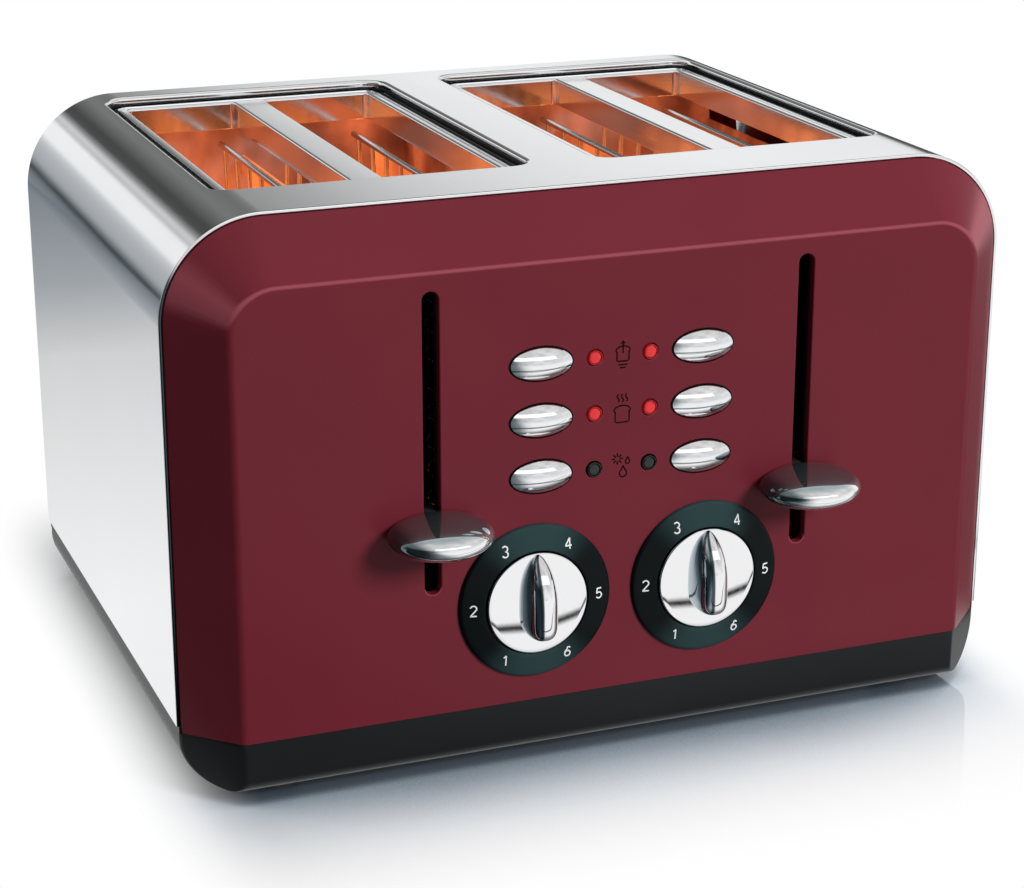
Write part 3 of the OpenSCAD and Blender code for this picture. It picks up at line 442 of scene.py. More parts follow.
# The wires glow with their own heat; the glow on the mica cards and the sheets is painted light from the
# wires
mica = heat_glow_and_heater_light("mica_in_heater_light", (0.50, 0.36, 0.22),
                      (0.60, 0.035, 0.010), (1.0, 0.25, 0.05), 1.0, 30.0, (1, 1, 0.5))
hot_wire = heat_glow_and_heater_light("glowing_heater_wire", (0.35, 0.12, 0.05),
                          (1.0, 0.20, 0.04), (1.0, 0.55, 0.18), 3.0, 60.0)
heater_lit_sheet = heat_glow_and_heater_light("sheet_in_heater_light", (0.16, 0.10, 0.08),
                        (0.10, 0.006, 0.005), (1.0, 0.20, 0.07), 0.85, 34.0, (1, 1, 0.6))
lamp_lit = lens("lit_red_lens", (0.76, 0.018, 0.023), (0.66, 0.012, 0.016), 0.62)
lamp_rim = lens("lit_red_rim", (0.36, 0.008, 0.010), (0.26, 0.005, 0.007), 0.35)
lamp_dark = lens("dark_lens", (0.006, 0.012, 0.012))


def no_heater_light_behind(material):
    """Takes the painted heater light off faces that look to the back."""
    tree = material.node_tree
    strength = inputs(material)["Emission Strength"].links[0].from_socket
    share = between(tree, parts(tree, facing(tree))["Y"], 0.5, 0.9, 1.0, 0.0)
    drive(material, "Emission Strength", maths(tree, "MULTIPLY", strength, share))


def painted_turn_highlight(material, dark, pale):
    """Painted highlight: the two pale fans, above and below, that a turned ring's reflection shows,
    painted into its colour.
    """
    tree = material.node_tree
    place = parts(tree, place_on(tree))
    across = maths(tree, "SUBTRACT", maths(tree, "ABSOLUTE", place["X"]), DIAL_X * MM)
    up = maths(tree, "SUBTRACT", place["Z"], DIAL_Z * MM)
    across, up = maths(tree, "MULTIPLY", across, across), maths(tree, "MULTIPLY", up, up)
    share = maths(tree, "DIVIDE", up, maths(tree, "ADD", across, up))
    drive(material, "Base Color", ramped(tree, share, [(0.35, dark), (1.0, pale)], "EASE"))


def paint_light_and_shade(material, color, *limits):
    """Paints light and shade: passes into another colour as each limit, of its facing or its place, goes
    from start to end.
    """
    tree = material.node_tree
    share = 1.0
    for source, axis, start, end in limits:
        value = parts(tree, source(tree))[axis]
        share = maths(tree, "MULTIPLY", between(tree, value, start, end, smooth=True), share)
    before = inputs(material)["Base Color"].links[0].from_socket
    drive(material, "Base Color", mixed(tree, share, before, (*color, 1)))


def paint_reflection_by_facing(material, axis, stops):
    """Paints reflections into a surface's colour by one part of the way it faces, from -1 to 1."""
    tree = material.node_tree
    share = between(tree, parts(tree, facing(tree))[axis], -1.0, 1.0)
    stops = [((part + 1) / 2, color) for part, color in stops]
    drive(material, "Base Color", ramped(tree, share, stops))


no_heater_light_behind(heater_lit_sheet)
# Painted highlight on the scale rings: pale fans above and below each dial
painted_turn_highlight(dial_black, (0.001, 0.003, 0.0035), (0.022, 0.047, 0.049))
# Painted reflection on the grips: dark on faces turned to the left, pale grey-blue on those turned
# furthest left
paint_reflection_by_facing(dial_chrome, "X", [
    (-0.60, (0.42, 0.50, 0.54)), (-0.50, (0.07, 0.09, 0.10)), (-0.30, (0.05, 0.065, 0.07)),
    (-0.19, CHROME),
])
# Painted reflection on the buttons: a dark horizon line low on each dome, and a greyer band above its
# middle
paint_reflection_by_facing(button_chrome, "Z", [
    (-0.30, (0.88, 0.88, 0.89)), (-0.255, (0.26, 0.28, 0.29)), (-0.215, (0.26, 0.28, 0.29)),
    (-0.17, (0.86, 0.87, 0.88)), (0.04, (0.84, 0.85, 0.86)), (0.12, (0.72, 0.73, 0.75)),
    (0.26, (0.74, 0.75, 0.77)), (0.36, (0.88, 0.88, 0.89)),
])
# Painted light and shade on the base's lower edge, the knobs' tops, the pad's ridge, the knobs' left
# ends and the sleeve's left edge
SHADED_FROM, SHADED_TO = 8 - HALF, 3 - HALF
# Painted reflection: the base turns paler where its lower edge faces down to the pale floor
paint_light_and_shade(black, (0.036, 0.038, 0.041), (facing, "Z", -0.02, -0.4))
# Painted reflection: the knobs' tops turn a dark grey-blue
paint_light_and_shade(knob_chrome, (0.36, 0.44, 0.455), (facing, "Z", 0.66, 0.88))
# Painted highlight along the pad's top ridge
paint_light_and_shade(red, (0.285, 0.062, 0.083), (facing, "Z", 0.08, 0.24), (facing, "Z", 0.50, 0.34))
# Painted reflection: the knobs' left ends turn dark
paint_light_and_shade(knob_chrome, (0.12, 0.16, 0.17), (facing, "X", -0.25, -0.6))
# Painted reflection: the sleeve's front edge turns dark at its left side
paint_light_and_shade(steel, (0.05, 0.07, 0.075), (facing, "Y", -0.12, -0.35),
         (place_on, "X", SHADED_FROM * MM, SHADED_TO * MM))

# Steel sleeve: side strips, a top with two openings in it, and folded lips
ARC_STEPS, TOP_STEPS = 30, 5
TOP_FIRST, TOP_LAST = 1 + ARC_STEPS - TOP_STEPS, ARC_STEPS + 2 + TOP_STEPS
EDGE = 0.55
FOLD, FOLD_STEPS = 1.4, 6
SKIN_MARGIN = 1.0
ON_SKIN = 0.004


def sleeve_outline(inset, y):
    outline = arch(2 * (HALF - inset), Z_TOP - Z_SLEEVE - inset, SLEEVE_R - inset, ARC_STEPS)
    return [(x, y, z + Z_SLEEVE) for x, z in outline]


def sleeve_level(x, inset):
    """Height of the sleeve's top over x, which falls away into the rounded corners."""
    out = max(0.0, abs(x) - (HALF - SLEEVE_R))
    return Z_TOP - SLEEVE_R + math.sqrt((SLEEVE_R - inset) ** 2 - out ** 2)


def opening(side, grow):
    outline = round_rect(OPEN_W + 2 * grow, OPEN_L + 2 * grow, OPEN_R + grow)
    return [(side * PAIR_X + x, OPEN_Y + y) for x, y in outline]


def in_opening(x, y, grow):
    """True inside an opening with its rounded corners."""
    radius = OPEN_R + grow
    for side in SIDES.values():
        dx = abs(x - side * PAIR_X) - (OPEN_W / 2 - OPEN_R)
        dy = abs(y - OPEN_Y) - (OPEN_L / 2 - OPEN_R)
        if dx < radius and dy < radius and (dx <= 0 or dy <= 0 or math.hypot(dx, dy) < radius):
            return True
    return False


def sleeve_top(make, front, rear, inset, grow):
    """Skin of the top between two outlines, round both openings. Returns the openings' edges."""
    verts = front[TOP_FIRST:TOP_LAST + 1] + rear[TOP_FIRST:TOP_LAST + 1]
    points = [(v.co.x / MM, v.co.y / MM) for v in verts]
    count = len(front[TOP_FIRST:TOP_LAST + 1])
    edges = [(row + i, row + i + 1) for row in (0, count) for i in range(count - 1)]
    edges += [(0, count), (count - 1, 2 * count - 1)]

    def on_top(x, y):
        return make.ring([(x, y, sleeve_level(x, inset))])[0]

    loops = []
    for side in SIDES.values():
        outline = opening(side, grow)
        loop = [on_top(x, y) for x, y in outline]
        start = len(points)
        points += outline
        verts += loop
        edges += [(start + i, start + (i + 1) % len(loop)) for i in range(len(loop))]
        loops.append(loop)
    reach = OPEN_L / 2 + grow + SKIN_MARGIN
    for i in [*range(1, TOP_STEPS + 1), *range(count - 1 - TOP_STEPS, count - 1)]:
        x = points[i][0]
        for end, y in ((i, OPEN_Y - reach), (count + i, OPEN_Y + reach)):
            points.append((x, y))
            verts.append(on_top(x, y))
            edges.append((end, len(points) - 1))
    places, _, faces, origins, *_ = delaunay_2d_cdt([Vector(p) for p in points], edges, [], 0, 1e-5)
    chosen = [verts[origin[0]] if origin else on_top(*place) for place, origin in zip(places, origins)]
    for face in faces:
        x, y = (sum(places[i][axis] for i in face) / 3 for axis in (0, 1))
        if not in_opening(x, y, grow):
            make.bm.faces.new([chosen[i] for i in face])
    return loops


def true_normals(mesh):
    """Gives the outer skin the normals of the form itself, so that the reflections run smoothly."""
    exact = {}
    for v in mesh.vertices:
        x, z = v.co.x / MM, v.co.z / MM
        out, up = max(0.0, abs(x) - (HALF - SLEEVE_R)), max(0.0, z - (Z_TOP - SLEEVE_R))
        if abs(math.hypot(out, up) - SLEEVE_R) < ON_SKIN:
            exact[v.index] = Vector((math.copysign(out, x), 0, up)).normalized()
    normals = []
    for polygon in mesh.polygons:
        for index in polygon.vertices:
            normal = exact.get(index)
            steep = normal is None or normal.dot(polygon.normal) < 0.5
            normals.append(Vector() if steep else normal)
    mesh.normals_split_custom_set(normals)


def build_sleeve():
    make = Build()
    soft = [(EDGE, 0.0), (EDGE * ROUND, EDGE * ROUND), (0.0, EDGE)]
    section = soft + [(y, SHEET - inset) for y, inset in reversed(soft)]
    front = make.loft([sleeve_outline(inset, SLEEVE_FRONT + y) for y, inset in section], closed=False)
    rear = make.loft([sleeve_outline(inset, SLEEVE_REAR - y) for y, inset in section], closed=False)
    for end in (0, -1):
        make.bridge(front[end], rear[end], closed=False, skip=range(TOP_FIRST, TOP_LAST))
    outer = sleeve_top(make, front[0], rear[0], 0.0, FOLD)
    inner = sleeve_top(make, front[-1], rear[-1], SHEET, SHEET)
    lip = Z_TOP - LIP_H
    for side, loop, back_loop in zip(SIDES.values(), outer, inner):
        levels = [v.co.z / MM for v in loop]
        rings = []
        for c, s in arc(0, QUARTER, FOLD_STEPS)[1:]:
            folded = opening(side, FOLD * (1 - s))
            rings.append([(x, y, z - FOLD * (1 - c)) for (x, y), z in zip(folded, levels)])
        for grow, z in [*reversed(soft), (SHEET - EDGE, 0), (SHEET, EDGE)]:
            rings.append([(x, y, lip + z) for x, y in opening(side, grow)])
        lofted = make.loft(rings)
        make.bridge(loop, lofted[0])
        make.bridge(lofted[-1], back_loop)
    for end in (0, -1):
        make.bm.faces.new([r[end] for r in front] + [r[end] for r in reversed(rear)])
    true_normals(make.piece("steel_sleeve", steel, "sleeve_steel", weighted=False).data)


build_sleeve()


# Moulded panels
PANEL_SIZE, PAD_SIZE = (PANEL_W, PANEL_H, PANEL_R), (PAD_W, PAD_H, PAD_R)


def panel_ring(size, grow, y, low=0.0):
    width, height, radius = size
    outline = arch(width + 2 * grow, height + grow, radius + grow)
    return [(x, y, max(z, low) + Z_BASE) for x, z in outline]


def hole_rings(outline, soft, face, sign):
    """A hole's rounded mouth, its wall and its inner end, as outlines from front to back."""
    rings = [(soft * (1 - s), soft * (1 - c)) for c, s in arc(0, QUARTER, 4)] + [(0, WALL)]
    return [[(x, face + sign * depth, z) for x, z in outline(grow)] for grow, depth in rings]


def build_panel(make, face, sign, bevel, holes):
    """A dished panel: pad, ridge, bevel, land and rim, then back along its inner skin."""
    rings = []
    for c, s in arc(0, BEVEL_TURN, 8):
        grow = RIDGE_R * (s - math.tan(BEVEL_TURN / 2))
        rings.append(panel_ring(PAD_SIZE, grow, face + sign * RIDGE_R * (1 - c)))
    soft, step, clear = 0.5, 0.2, Z_SLEEVE - Z_BASE + 0.4
    inner, bevel_in, pad_in = WALL + step, WALL / math.cos(BEVEL_TURN), WALL * math.tan(BEVEL_TURN / 2)
    for inset, depth, low in (
        (soft, -soft, 0), (soft * 0.2, -soft * 0.2, 0), (0, 0, clear), (0, PANEL_LAND, clear),
        (step, PANEL_LAND, clear), (step, RIM_REACH, clear), (inner, RIM_REACH, clear),
        (inner, step, clear), (bevel_in, 0, 0),
    ):
        rings.append(panel_ring(PANEL_SIZE, -inset, face + sign * (bevel + depth), low))
    rings.append(panel_ring(PAD_SIZE, -pad_in, face + sign * WALL))
    skins = make.loft(rings, closed=False)
    mouths = [make.loft(hole_rings(outline, soft, face, sign)) for outline, soft in holes]
    for end in (0, -1):
        make.fill([skins[end]] + [m[end] for m in mouths])
    make.fill([[r[0] for r in skins] + [r[-1] for r in reversed(skins)]])


def oval_hole(x, z, width, height, soft=0.4, count=48):
    def outline(grow):
        return [(x + u, z + v) for u, v in oval(width + 2 * grow, height + 2 * grow, count)]
    return outline, soft


def round_hole(x, z, radius, soft=0.4, count=48):
    return oval_hole(x, z, 2 * radius, 2 * radius, soft, count)


def lever_hole(x, soft=0.6):
    middle, length = (LEVER_LOW + LEVER_HIGH) / 2, LEVER_HIGH - LEVER_LOW

    def outline(grow):
        width = LEVER_SLOT_W + 2 * grow
        return [(x + u, middle + v) for u, v in round_rect(width, length + 2 * grow, width / 2 - 0.01)]
    return outline, soft


POST_R, POST_IN, POST_HOLE_R = 3.5, 5.0, 1.55
SCREW_GRIP = 7.0
GLAND, GLAND_HOLE_R = (-95.0, 48.0), 6.05
REAR_HEAD_R, REAR_HOLE_R = 3.5, 1.7
REAR_SCREWS = corners("rear_screws", REAR_HEAD_R, 2)


def build_front_panel():
    holes = []
    for side in SIDES.values():
        holes += [lever_hole(side * PAIR_X), round_hole(side * DIAL_X, DIAL_Z, HUB_HOLE_R)]
        for z in ROWS:
            size = BUTTON_W + 2 * BUTTON_GAP, BUTTON_H + 2 * BUTTON_GAP
            holes.append(oval_hole(side * BUTTON_X, z, *size, BUTTON_SOFT, 72))
            holes.append(round_hole(side * LAMP_X, z, LAMP_R + LAMP_GAP, 0.25, 32))
    make = Build()
    build_panel(make, PAD, 1, FRONT_BEVEL, holes)
    reach = span("control_board")[0].y - PAD
    post = [(POST_R + 0.6, WALL - 0.4), (POST_R, WALL + 0.6), (POST_R, reach - 0.3),
            (POST_R - 0.3, reach), (POST_HOLE_R, reach), (POST_HOLE_R, reach - SCREW_GRIP),
            (0, reach - SCREW_GRIP)]
    for x, z in corners("control_board", POST_IN, 2):
        make.lathe(post, (x, PAD, z), "+Y", 32)
    make.piece("front_panel", red, "red_panel")


def build_dark_slot_strips():
    """Black strips behind the panel, one at each side of each lever arm, as painted shade that keeps the
    lever slots dark.
    """
    make = Build()
    near, far, past = ARM_HALF + 0.15, 6.0, 3.0
    front, thick = PAD + WALL + 0.15, 0.8
    for side in SIDES.values():
        for low, high in ((-far, -near), (near, far)):
            make.block((side * PAIR_X + low, front, LEVER_LOW - past),
                       (side * PAIR_X + high, front + thick, LEVER_HIGH + past))
    make.trim("lever_slot_shade", print_and_shade_black)


def build_rear_panel():
    holes = [round_hole(x, z, REAR_HOLE_R, 0.2, 32) for x, z in REAR_SCREWS]
    holes.append(round_hole(*GLAND, GLAND_HOLE_R, 0.2))
    make = Build()
    build_panel(make, BACK, -1, REAR_BEVEL, holes)
    make.piece("rear_panel", red, "red_panel")


build_front_panel()
build_dark_slot_strips()
build_rear_panel()

# Base: rings over its height, each a rounded plan held in by its sides, ends and bevelled corners
BASE_INSET, BASE_WALL, BASE_LIP = 0.8, 2.5, 0.4
BASE_R, BASE_EDGE_R = 15.0, 4.0
PLAN_ROUND, PLAN_POINTS = 3.0, 128
BASE_H = Z_BASE - FOOT_H
BASE_FLOOR = FOOT_H + BASE_WALL
PLAN_REACH = 400
TRAY_GAP, MOUTH_IN, MOUTH_OUT = 0.4, 12, 5
tray_low, tray_high = span("crumb_tray_right")
TRAY_HALF = (tray_high.x - tray_low.x) / 2 + TRAY_GAP


def clip(polygon, nx, ny, c):
    """What lies of a polygon behind a line."""
    kept = []
    for p, q in zip(polygon, polygon[1:] + polygon[:1]):
        dp, dq = nx * p[0] + ny * p[1] - c, nx * q[0] + ny * q[1] - c
        if dp <= 0:
            kept.append(p)
        if dp * dq < 0:
            t = dp / (dp - dq)
            kept.append((p[0] + t * (q[0] - p[0]), p[1] + t * (q[1] - p[1])))
    return kept


def base_plan(side_in, end_in, inset):
    """Rounded plan of the base, with points in step with the direction that they face."""
    half = HALF - BASE_INSET - inset - side_in
    front = PAD + BASE_INSET + inset + end_in
    rear = BACK - BASE_INSET - inset - end_in
    planes = [(1, 0, half), (-1, 0, half), (0, -1, -front), (0, 1, rear)]
    pad_half = PAD_W / 2 - BASE_INSET * math.tan(BEVEL_TURN / 2)
    for sign, face, bevel in ((-1, PAD + BASE_INSET, FRONT_BEVEL), (1, BACK - BASE_INSET, REAR_BEVEL)):
        run, rise = HALF - BASE_INSET - pad_half, bevel - BASE_INSET
        length = math.hypot(run, rise)
        nx, ny = rise / length, sign * run / length
        c = nx * pad_half + ny * face - inset
        planes += [(nx, ny, c), (-nx, ny, c)]
    polygon = [(PLAN_REACH * u, PLAN_REACH * v) for u, v in ((-1, -1), (1, -1), (1, 1), (-1, 1))]
    for nx, ny, c in planes:
        polygon = clip(polygon, nx, ny, c - PLAN_ROUND)
    points = []
    half_step = math.pi / PLAN_POINTS
    for ux, uy in arc(half_step, TURN + half_step, PLAN_POINTS)[:-1]:
        x, y = max(polygon, key=lambda p: p[0] * ux + p[1] * uy)
        points.append((x + PLAN_ROUND * ux, y + PLAN_ROUND * uy))
    return points


def rounded_in(radius, height):
    """How far a rounded lower edge is drawn in at a height above its bottom."""
    return radius - math.sqrt(max(0.0, radius ** 2 - max(0.0, radius - height) ** 2))


def build_base():
    heights = [BASE_EDGE_R * (1 - c) for c, _ in arc(0, QUARTER, 8)]
    heights += [BASE_EDGE_R + (BASE_R - BASE_EDGE_R) * i / 10 for i in range(1, 11)]
    levels = [(rounded_in(BASE_R, h), rounded_in(BASE_EDGE_R, h), 0, h) for h in heights]
    soft = BASE_LIP * ROUND
    for inset, down in ((0, BASE_LIP), (soft, soft), (BASE_LIP, 0), (BASE_WALL, 0)):
        levels.append((0, 0, inset, BASE_H - down))
    for i in range(1, 9):
        h = BASE_H - (BASE_H - BASE_WALL) * i / 8
        levels.append((rounded_in(BASE_R - BASE_WALL, h - BASE_WALL), 0, BASE_WALL, h))
    make = Build()
    make.loft([[(x, y, FOOT_H + h) for x, y in base_plan(*held)] for *held, h in levels], caps=True)
    piece = make.piece("base", black, "black_base", sharp=40)
    cutter = Build()
    for side in SIDES.values():
        middle = side * (tray_low.x + tray_high.x) / 2
        cutter.block((middle - TRAY_HALF, BACK - MOUTH_IN, BASE_FLOOR),
                     (middle + TRAY_HALF, BACK + MOUTH_OUT, tray_high.z + TRAY_GAP))
    carve(piece, cutter)


def build_curbs():
    """Raised sides of the base, under the sleeve."""
    make = Build()
    outer, soft, gap, sunk = HALF - BASE_INSET, 0.3, 0.4, 0.5
    front, rear = SLEEVE_FRONT + gap, SLEEVE_REAR - gap
    edge = soft * ROUND
    for side in SIDES.values():
        far = side * (outer - BASE_WALL)
        rings = []
        for inset, down in ((0, Z_SLEEVE - Z_BASE + sunk), (0, soft), (edge, edge), (soft, 0)):
            near, z = side * (outer - inset), Z_SLEEVE - down
            rings.append([(near, front + inset, z), (near, rear - inset, z), (far, rear - inset, z),
                          (far, front + inset, z)])
        make.loft(rings, caps=True)
    make.piece("base_sides", black, "black_base", solid=False)


RAIL_T, RAIL_SUNK = 3.0, 0.2
BOSS_R, BOSS_HOLE_R = 4.0, 1.55
CHASSIS_L, CHASSIS_SHEET, CHASSIS_FOOT = 174.6, 1.0, 5.0
CHASSIS_HEAD_R = 2.8
FOOT_R = 6.5


def build_rails():
    """Guides for the trays inside the base, and bosses for the chassis screws."""
    make = Build()
    bulkhead_low, bulkhead_high = span("rear_bulkhead")
    top, rear = bulkhead_low.z, bulkhead_high.y
    front = rear - CHASSIS_L
    for side in SIDES.values():
        for edge in (-1, 1):
            x = side * PAIR_X + edge * (TRAY_HALF + RAIL_T / 2)
            make.block((x - RAIL_T / 2, front, BASE_FLOOR - RAIL_SUNK), (x + RAIL_T / 2, rear, top))
    boss_x = span("small_screws")[1].x - CHASSIS_HEAD_R
    rise = top - BASE_FLOOR
    boss = [(BOSS_R, 0), (BOSS_R, rise), (BOSS_HOLE_R, rise), (BOSS_HOLE_R, rise - SCREW_GRIP),
            (0, rise - SCREW_GRIP)]
    inset = CHASSIS_SHEET + CHASSIS_FOOT
    for side in SIDES.values():
        for y in (front + inset, rear - inset):
            make.lathe(boss, (side * boss_x, y, BASE_FLOOR - RAIL_SUNK), "+Z", 32)
    make.piece("base_tray_rails", black, "black_base", solid=False)


def build_feet():
    make = Build()
    foot = [(0, 0), (FOOT_R - 1.0, 0), (FOOT_R - 0.3, 0.3), (FOOT_R, 1.0), (FOOT_R, FOOT_H), (0, FOOT_H)]
    for x, y in corners("feet", FOOT_R, 1):
        make.lathe(foot, (x, y, 0), "+Z", 40)
    make.piece("feet", rubber, "foot_rubber")


build_base()
build_curbs()
build_rails()
build_feet()


# Slot frames: flange, raised rim with a fine groove, plate with two slots, skirts, and a black strip of
# painted shade in the trough
def build_slot_frame(word, side):
    make = Build()
    top, flange_top = Z_TOP - RIM_DROP, Z_TOP - LIP_H
    flange_low = flange_top - FLANGE_T
    skirt_low = flange_low - SKIRT_H
    flange = TROUGH + FLANGE_W
    soft, edge, bead, groove, sunk = 0.5, 0.9, 1.1, 1.7, 0.5
    level = top - sunk + 0.2

    def outer(grow, z):
        width, length = OPEN_W + 2 * (grow - TROUGH), OPEN_L + 2 * (grow - TROUGH)
        outline = round_rect(width, length, max(OPEN_R - TROUGH + grow, 0.3))
        return [(side * PAIR_X + x, OPEN_Y + y, z) for x, y in outline]

    def slot_ring(slot, grow, z):
        x0 = side * PAIR_X + slot * SLOT_PITCH / 2
        outline = round_rect(SLOT_W + 2 * grow, SLOT_L + 2 * grow, SLOT_R + grow)
        return [(x0 + x, OPEN_Y + y, z) for x, y in outline]

    rim = make.loft([outer(grow, z) for grow, z in (
        (flange, flange_low), (flange, flange_top), (soft, flange_top),
        (soft * ROUND, flange_top + soft * ROUND), (0, flange_top + soft), (0, top - soft),
        (-soft * ROUND, top - soft * ROUND), (-soft, top), (-bead, top), (-bead - 0.15, top - sunk),
        (0.1 - groove, top - sunk), (-groove, level),
    )])
    slots = []
    for slot in (-1, 1):
        mouth = [(edge * (1 - s), level - edge * (1 - c)) for c, s in arc(0, QUARTER, 4)]
        skirt = [(0, skirt_low + 0.3), (0.3, skirt_low), (FLANGE_T, skirt_low), (FLANGE_T, flange_low)]
        slots.append(make.loft([slot_ring(slot, grow, z) for grow, z in mouth + skirt]))
    make.fill([rim[-1]] + [rings[0] for rings in slots])
    make.fill([rim[0]] + [rings[-1] for rings in slots])
    make.piece("slot_frame_" + word, bright, "bright_frame")
    # Painted shade: a black strip in the trough between the sleeve and the rim, standing in for the
    # shade there
    near, far, low, shoulder, high, soft = 0.55, TROUGH - 0.15, 0.02, 0.35, 0.5, 0.2
    shade_profile = [(near, low), (near, shoulder), (near + soft, high), (far - soft, high), (far, shoulder),
            (far, low)]
    make = Build()
    make.loft([outer(grow, flange_top + rise) for grow, rise in shade_profile + shade_profile[:1]])
    make.trim("trough_shade_strip_" + word, print_and_shade_black, sharp=50)


for word, sign in SIDES.items():
    build_slot_frame(word, sign)

# Lever knobs: pebble shapes with a flat back, each with a socket for its arm
KNOB_SWELL = 16.5
KNOB_STATIONS, KNOB_POINTS = 64, 96
ARM_PLAY = 0.05


def build_lever_knob(word):
    name = "lever_knob_" + word
    low, high = span(name)
    x0, y0, z0 = (low.x + high.x) / 2, low.y + KNOB_SWELL, (low.z + high.z) / 2
    wide, tall = (high.x - low.x) / 2, (high.z - low.z) / 2
    make = Build()
    rings = make.loft([
        [(x0 - wide * along, min(y0 + spread * c, high.y), z0 + tall / KNOB_SWELL * spread * s)
         for c, s in arc(0, TURN, KNOB_POINTS)[:-1]]
        for along, spread in ((c, KNOB_SWELL * s) for c, s in arc(0, math.pi, KNOB_STATIONS)[1:-1])
    ])
    for rim, x in ((rings[0], low.x), (rings[-1], high.x)):
        make.fan(make.ring([(x, y0, z0)])[0], rim)
    piece = make.piece(name, knob_chrome, "chrome_trim", "carriage_" + word, weighted=False)
    half, rise = ARM_HALF + ARM_PLAY, ARM_RISE + ARM_PLAY
    cutter = Build()
    cutter.block((x0 - half, y0 - ARM_PLAY, z0 - rise), (x0 + half, high.y + rise, z0 + rise))
    carve(piece, cutter)


for word in SIDES:
    build_lever_knob(word)


# Printed lines, for the numbers on the dials and the symbols between the lamps
LINE = 0.24


def stroke(make, points, under, over, lay):
    """A thin band along points of a plane. lay(u, v, lift) puts each of its corners on the surface."""
    rings = []
    for i, (u, v) in enumerate(points):
        back, ahead = points[max(i - 1, 0)], points[min(i + 1, len(points) - 1)]
        du, dv = ahead[0] - back[0], ahead[1] - back[1]
        scale = LINE / (math.hypot(du, dv) or 1.0)
        rings.append([
            lay(u - side * dv * scale, v + side * du * scale, lift)
            for side, lift in ((1, -under), (1, over), (-1, over), (-1, -under))
        ])
    make.loft(rings, caps=True)


def bend(x, y, radius, start, end, steps=14):
    """Points of an arc, with angles in degrees."""
    turn = arc(math.radians(start), math.radians(end), steps)
    return [(x + radius * c, y + radius * s) for c, s in turn]


def straight(*points):
    """Points along a run of straight lines, close enough together to follow the ring."""
    path = []
    for (ax, ay), (bx, by) in zip(points, points[1:]):
        path += [(ax + (bx - ax) * i / 4, ay + (by - ay) * i / 4) for i in range(5)]
    return path


# Dials: scale rings with numbers, low domed discs and leaf-shaped finger grips
DISC_R, DISC_FACE, DISC_BACK, DISC_DOME = 17.75, 3.8, 0.45, 0.3
RING_IN, RING_OUT = DISC_R + 0.45, 27.0
RING_H, RING_EDGE_H = 3.0, 1.2
FACE_IN, FACE_OUT = RING_IN + 0.5, RING_OUT - 1.1
HUB_R, SHAFT_R = 8.0, 3.05
GRIP_H, GRIP_HALF = 10.0, 5.5
GRIP_HEEL, GRIP_WIDEST, GRIP_TIP = -12.0, -2.0, 17.4
GRIP_STATIONS, GRIP_POINTS = 56, 49
NUMBER_R, NUMBER_H = 22.4, 3.75
NUMBER_UNDER, NUMBER_OVER = 0.1, 0.05

# Strokes of the numbers, in heights of a number, about its middle
NUMBERS = {
    1: [straight((-0.16, 0.30), (0.06, 0.5)), straight((0.06, 0.5), (0.06, -0.5))],
    2: [bend(0, 0.23, 0.27, 165, -25) + straight((0.245, 0.116), (-0.27, -0.47)),
        straight((-0.29, -0.47), (0.29, -0.47))],
    3: [bend(-0.01, 0.25, 0.24, 150, -90), bend(-0.01, -0.23, 0.26, 90, -155)],
    4: [straight((0.14, -0.5), (0.14, 0.5)), straight((0.14, 0.48), (-0.30, -0.2)),
        straight((-0.31, -0.2), (0.31, -0.2))],
    5: [straight((0.25, 0.47), (-0.18, 0.47)), straight((-0.17, 0.48), (-0.23, 0.0)),
        bend(0, -0.18, 0.28, 140, -150)],
    6: [bend(0, -0.2, 0.27, 0, 360, 28),
        bend(0.12, -0.12, 0.39, 172, 118) + bend(0.02, 0.24, 0.23, 105, 20, 8)],
}


def ring_level(radius):
    share = (radius - FACE_IN) / (FACE_OUT - FACE_IN)
    return RING_H + (RING_EDGE_H + 0.35 - RING_H) * share


def build_scale_ring(word, side):
    centre = (side * DIAL_X, PAD, DIAL_Z)
    face = [FACE_IN + (FACE_OUT - FACE_IN) * i / 6 for i in range(7)]
    edge = ring_level(FACE_OUT)
    profile = [(RING_IN, 0), (RING_IN, RING_H - 0.45), (RING_IN + 0.15, RING_H - 0.13)]
    profile += [(radius, ring_level(radius)) for radius in face]
    profile += [(RING_OUT - 0.55, edge - 0.22), (RING_OUT - 0.15, edge - 0.62), (RING_OUT, edge - 1.1),
                (RING_OUT, 0)]
    make = Build()
    make.lathe(profile, centre, "-Y", 128, wrap=True)
    make.piece("scale_ring_" + word, dial_black, "dial_black", sharp=50)

    def lay(u, v, lift):
        return turned(u, v, ring_level(math.hypot(u, v)) + lift, centre, "-Y")

    for number, strokes in NUMBERS.items():
        a = math.radians(-150 + 60 * (number - 1))
        make = Build()
        for points in strokes:
            on_ring = [(NUMBER_R * math.sin(a) + NUMBER_H * u, NUMBER_R * math.cos(a) + NUMBER_H * v)
                       for u, v in points]
            stroke(make, on_ring, NUMBER_UNDER, NUMBER_OVER, lay)
        make.trim(f"dial_number_{word}_{number}", print_white, "dial_black")


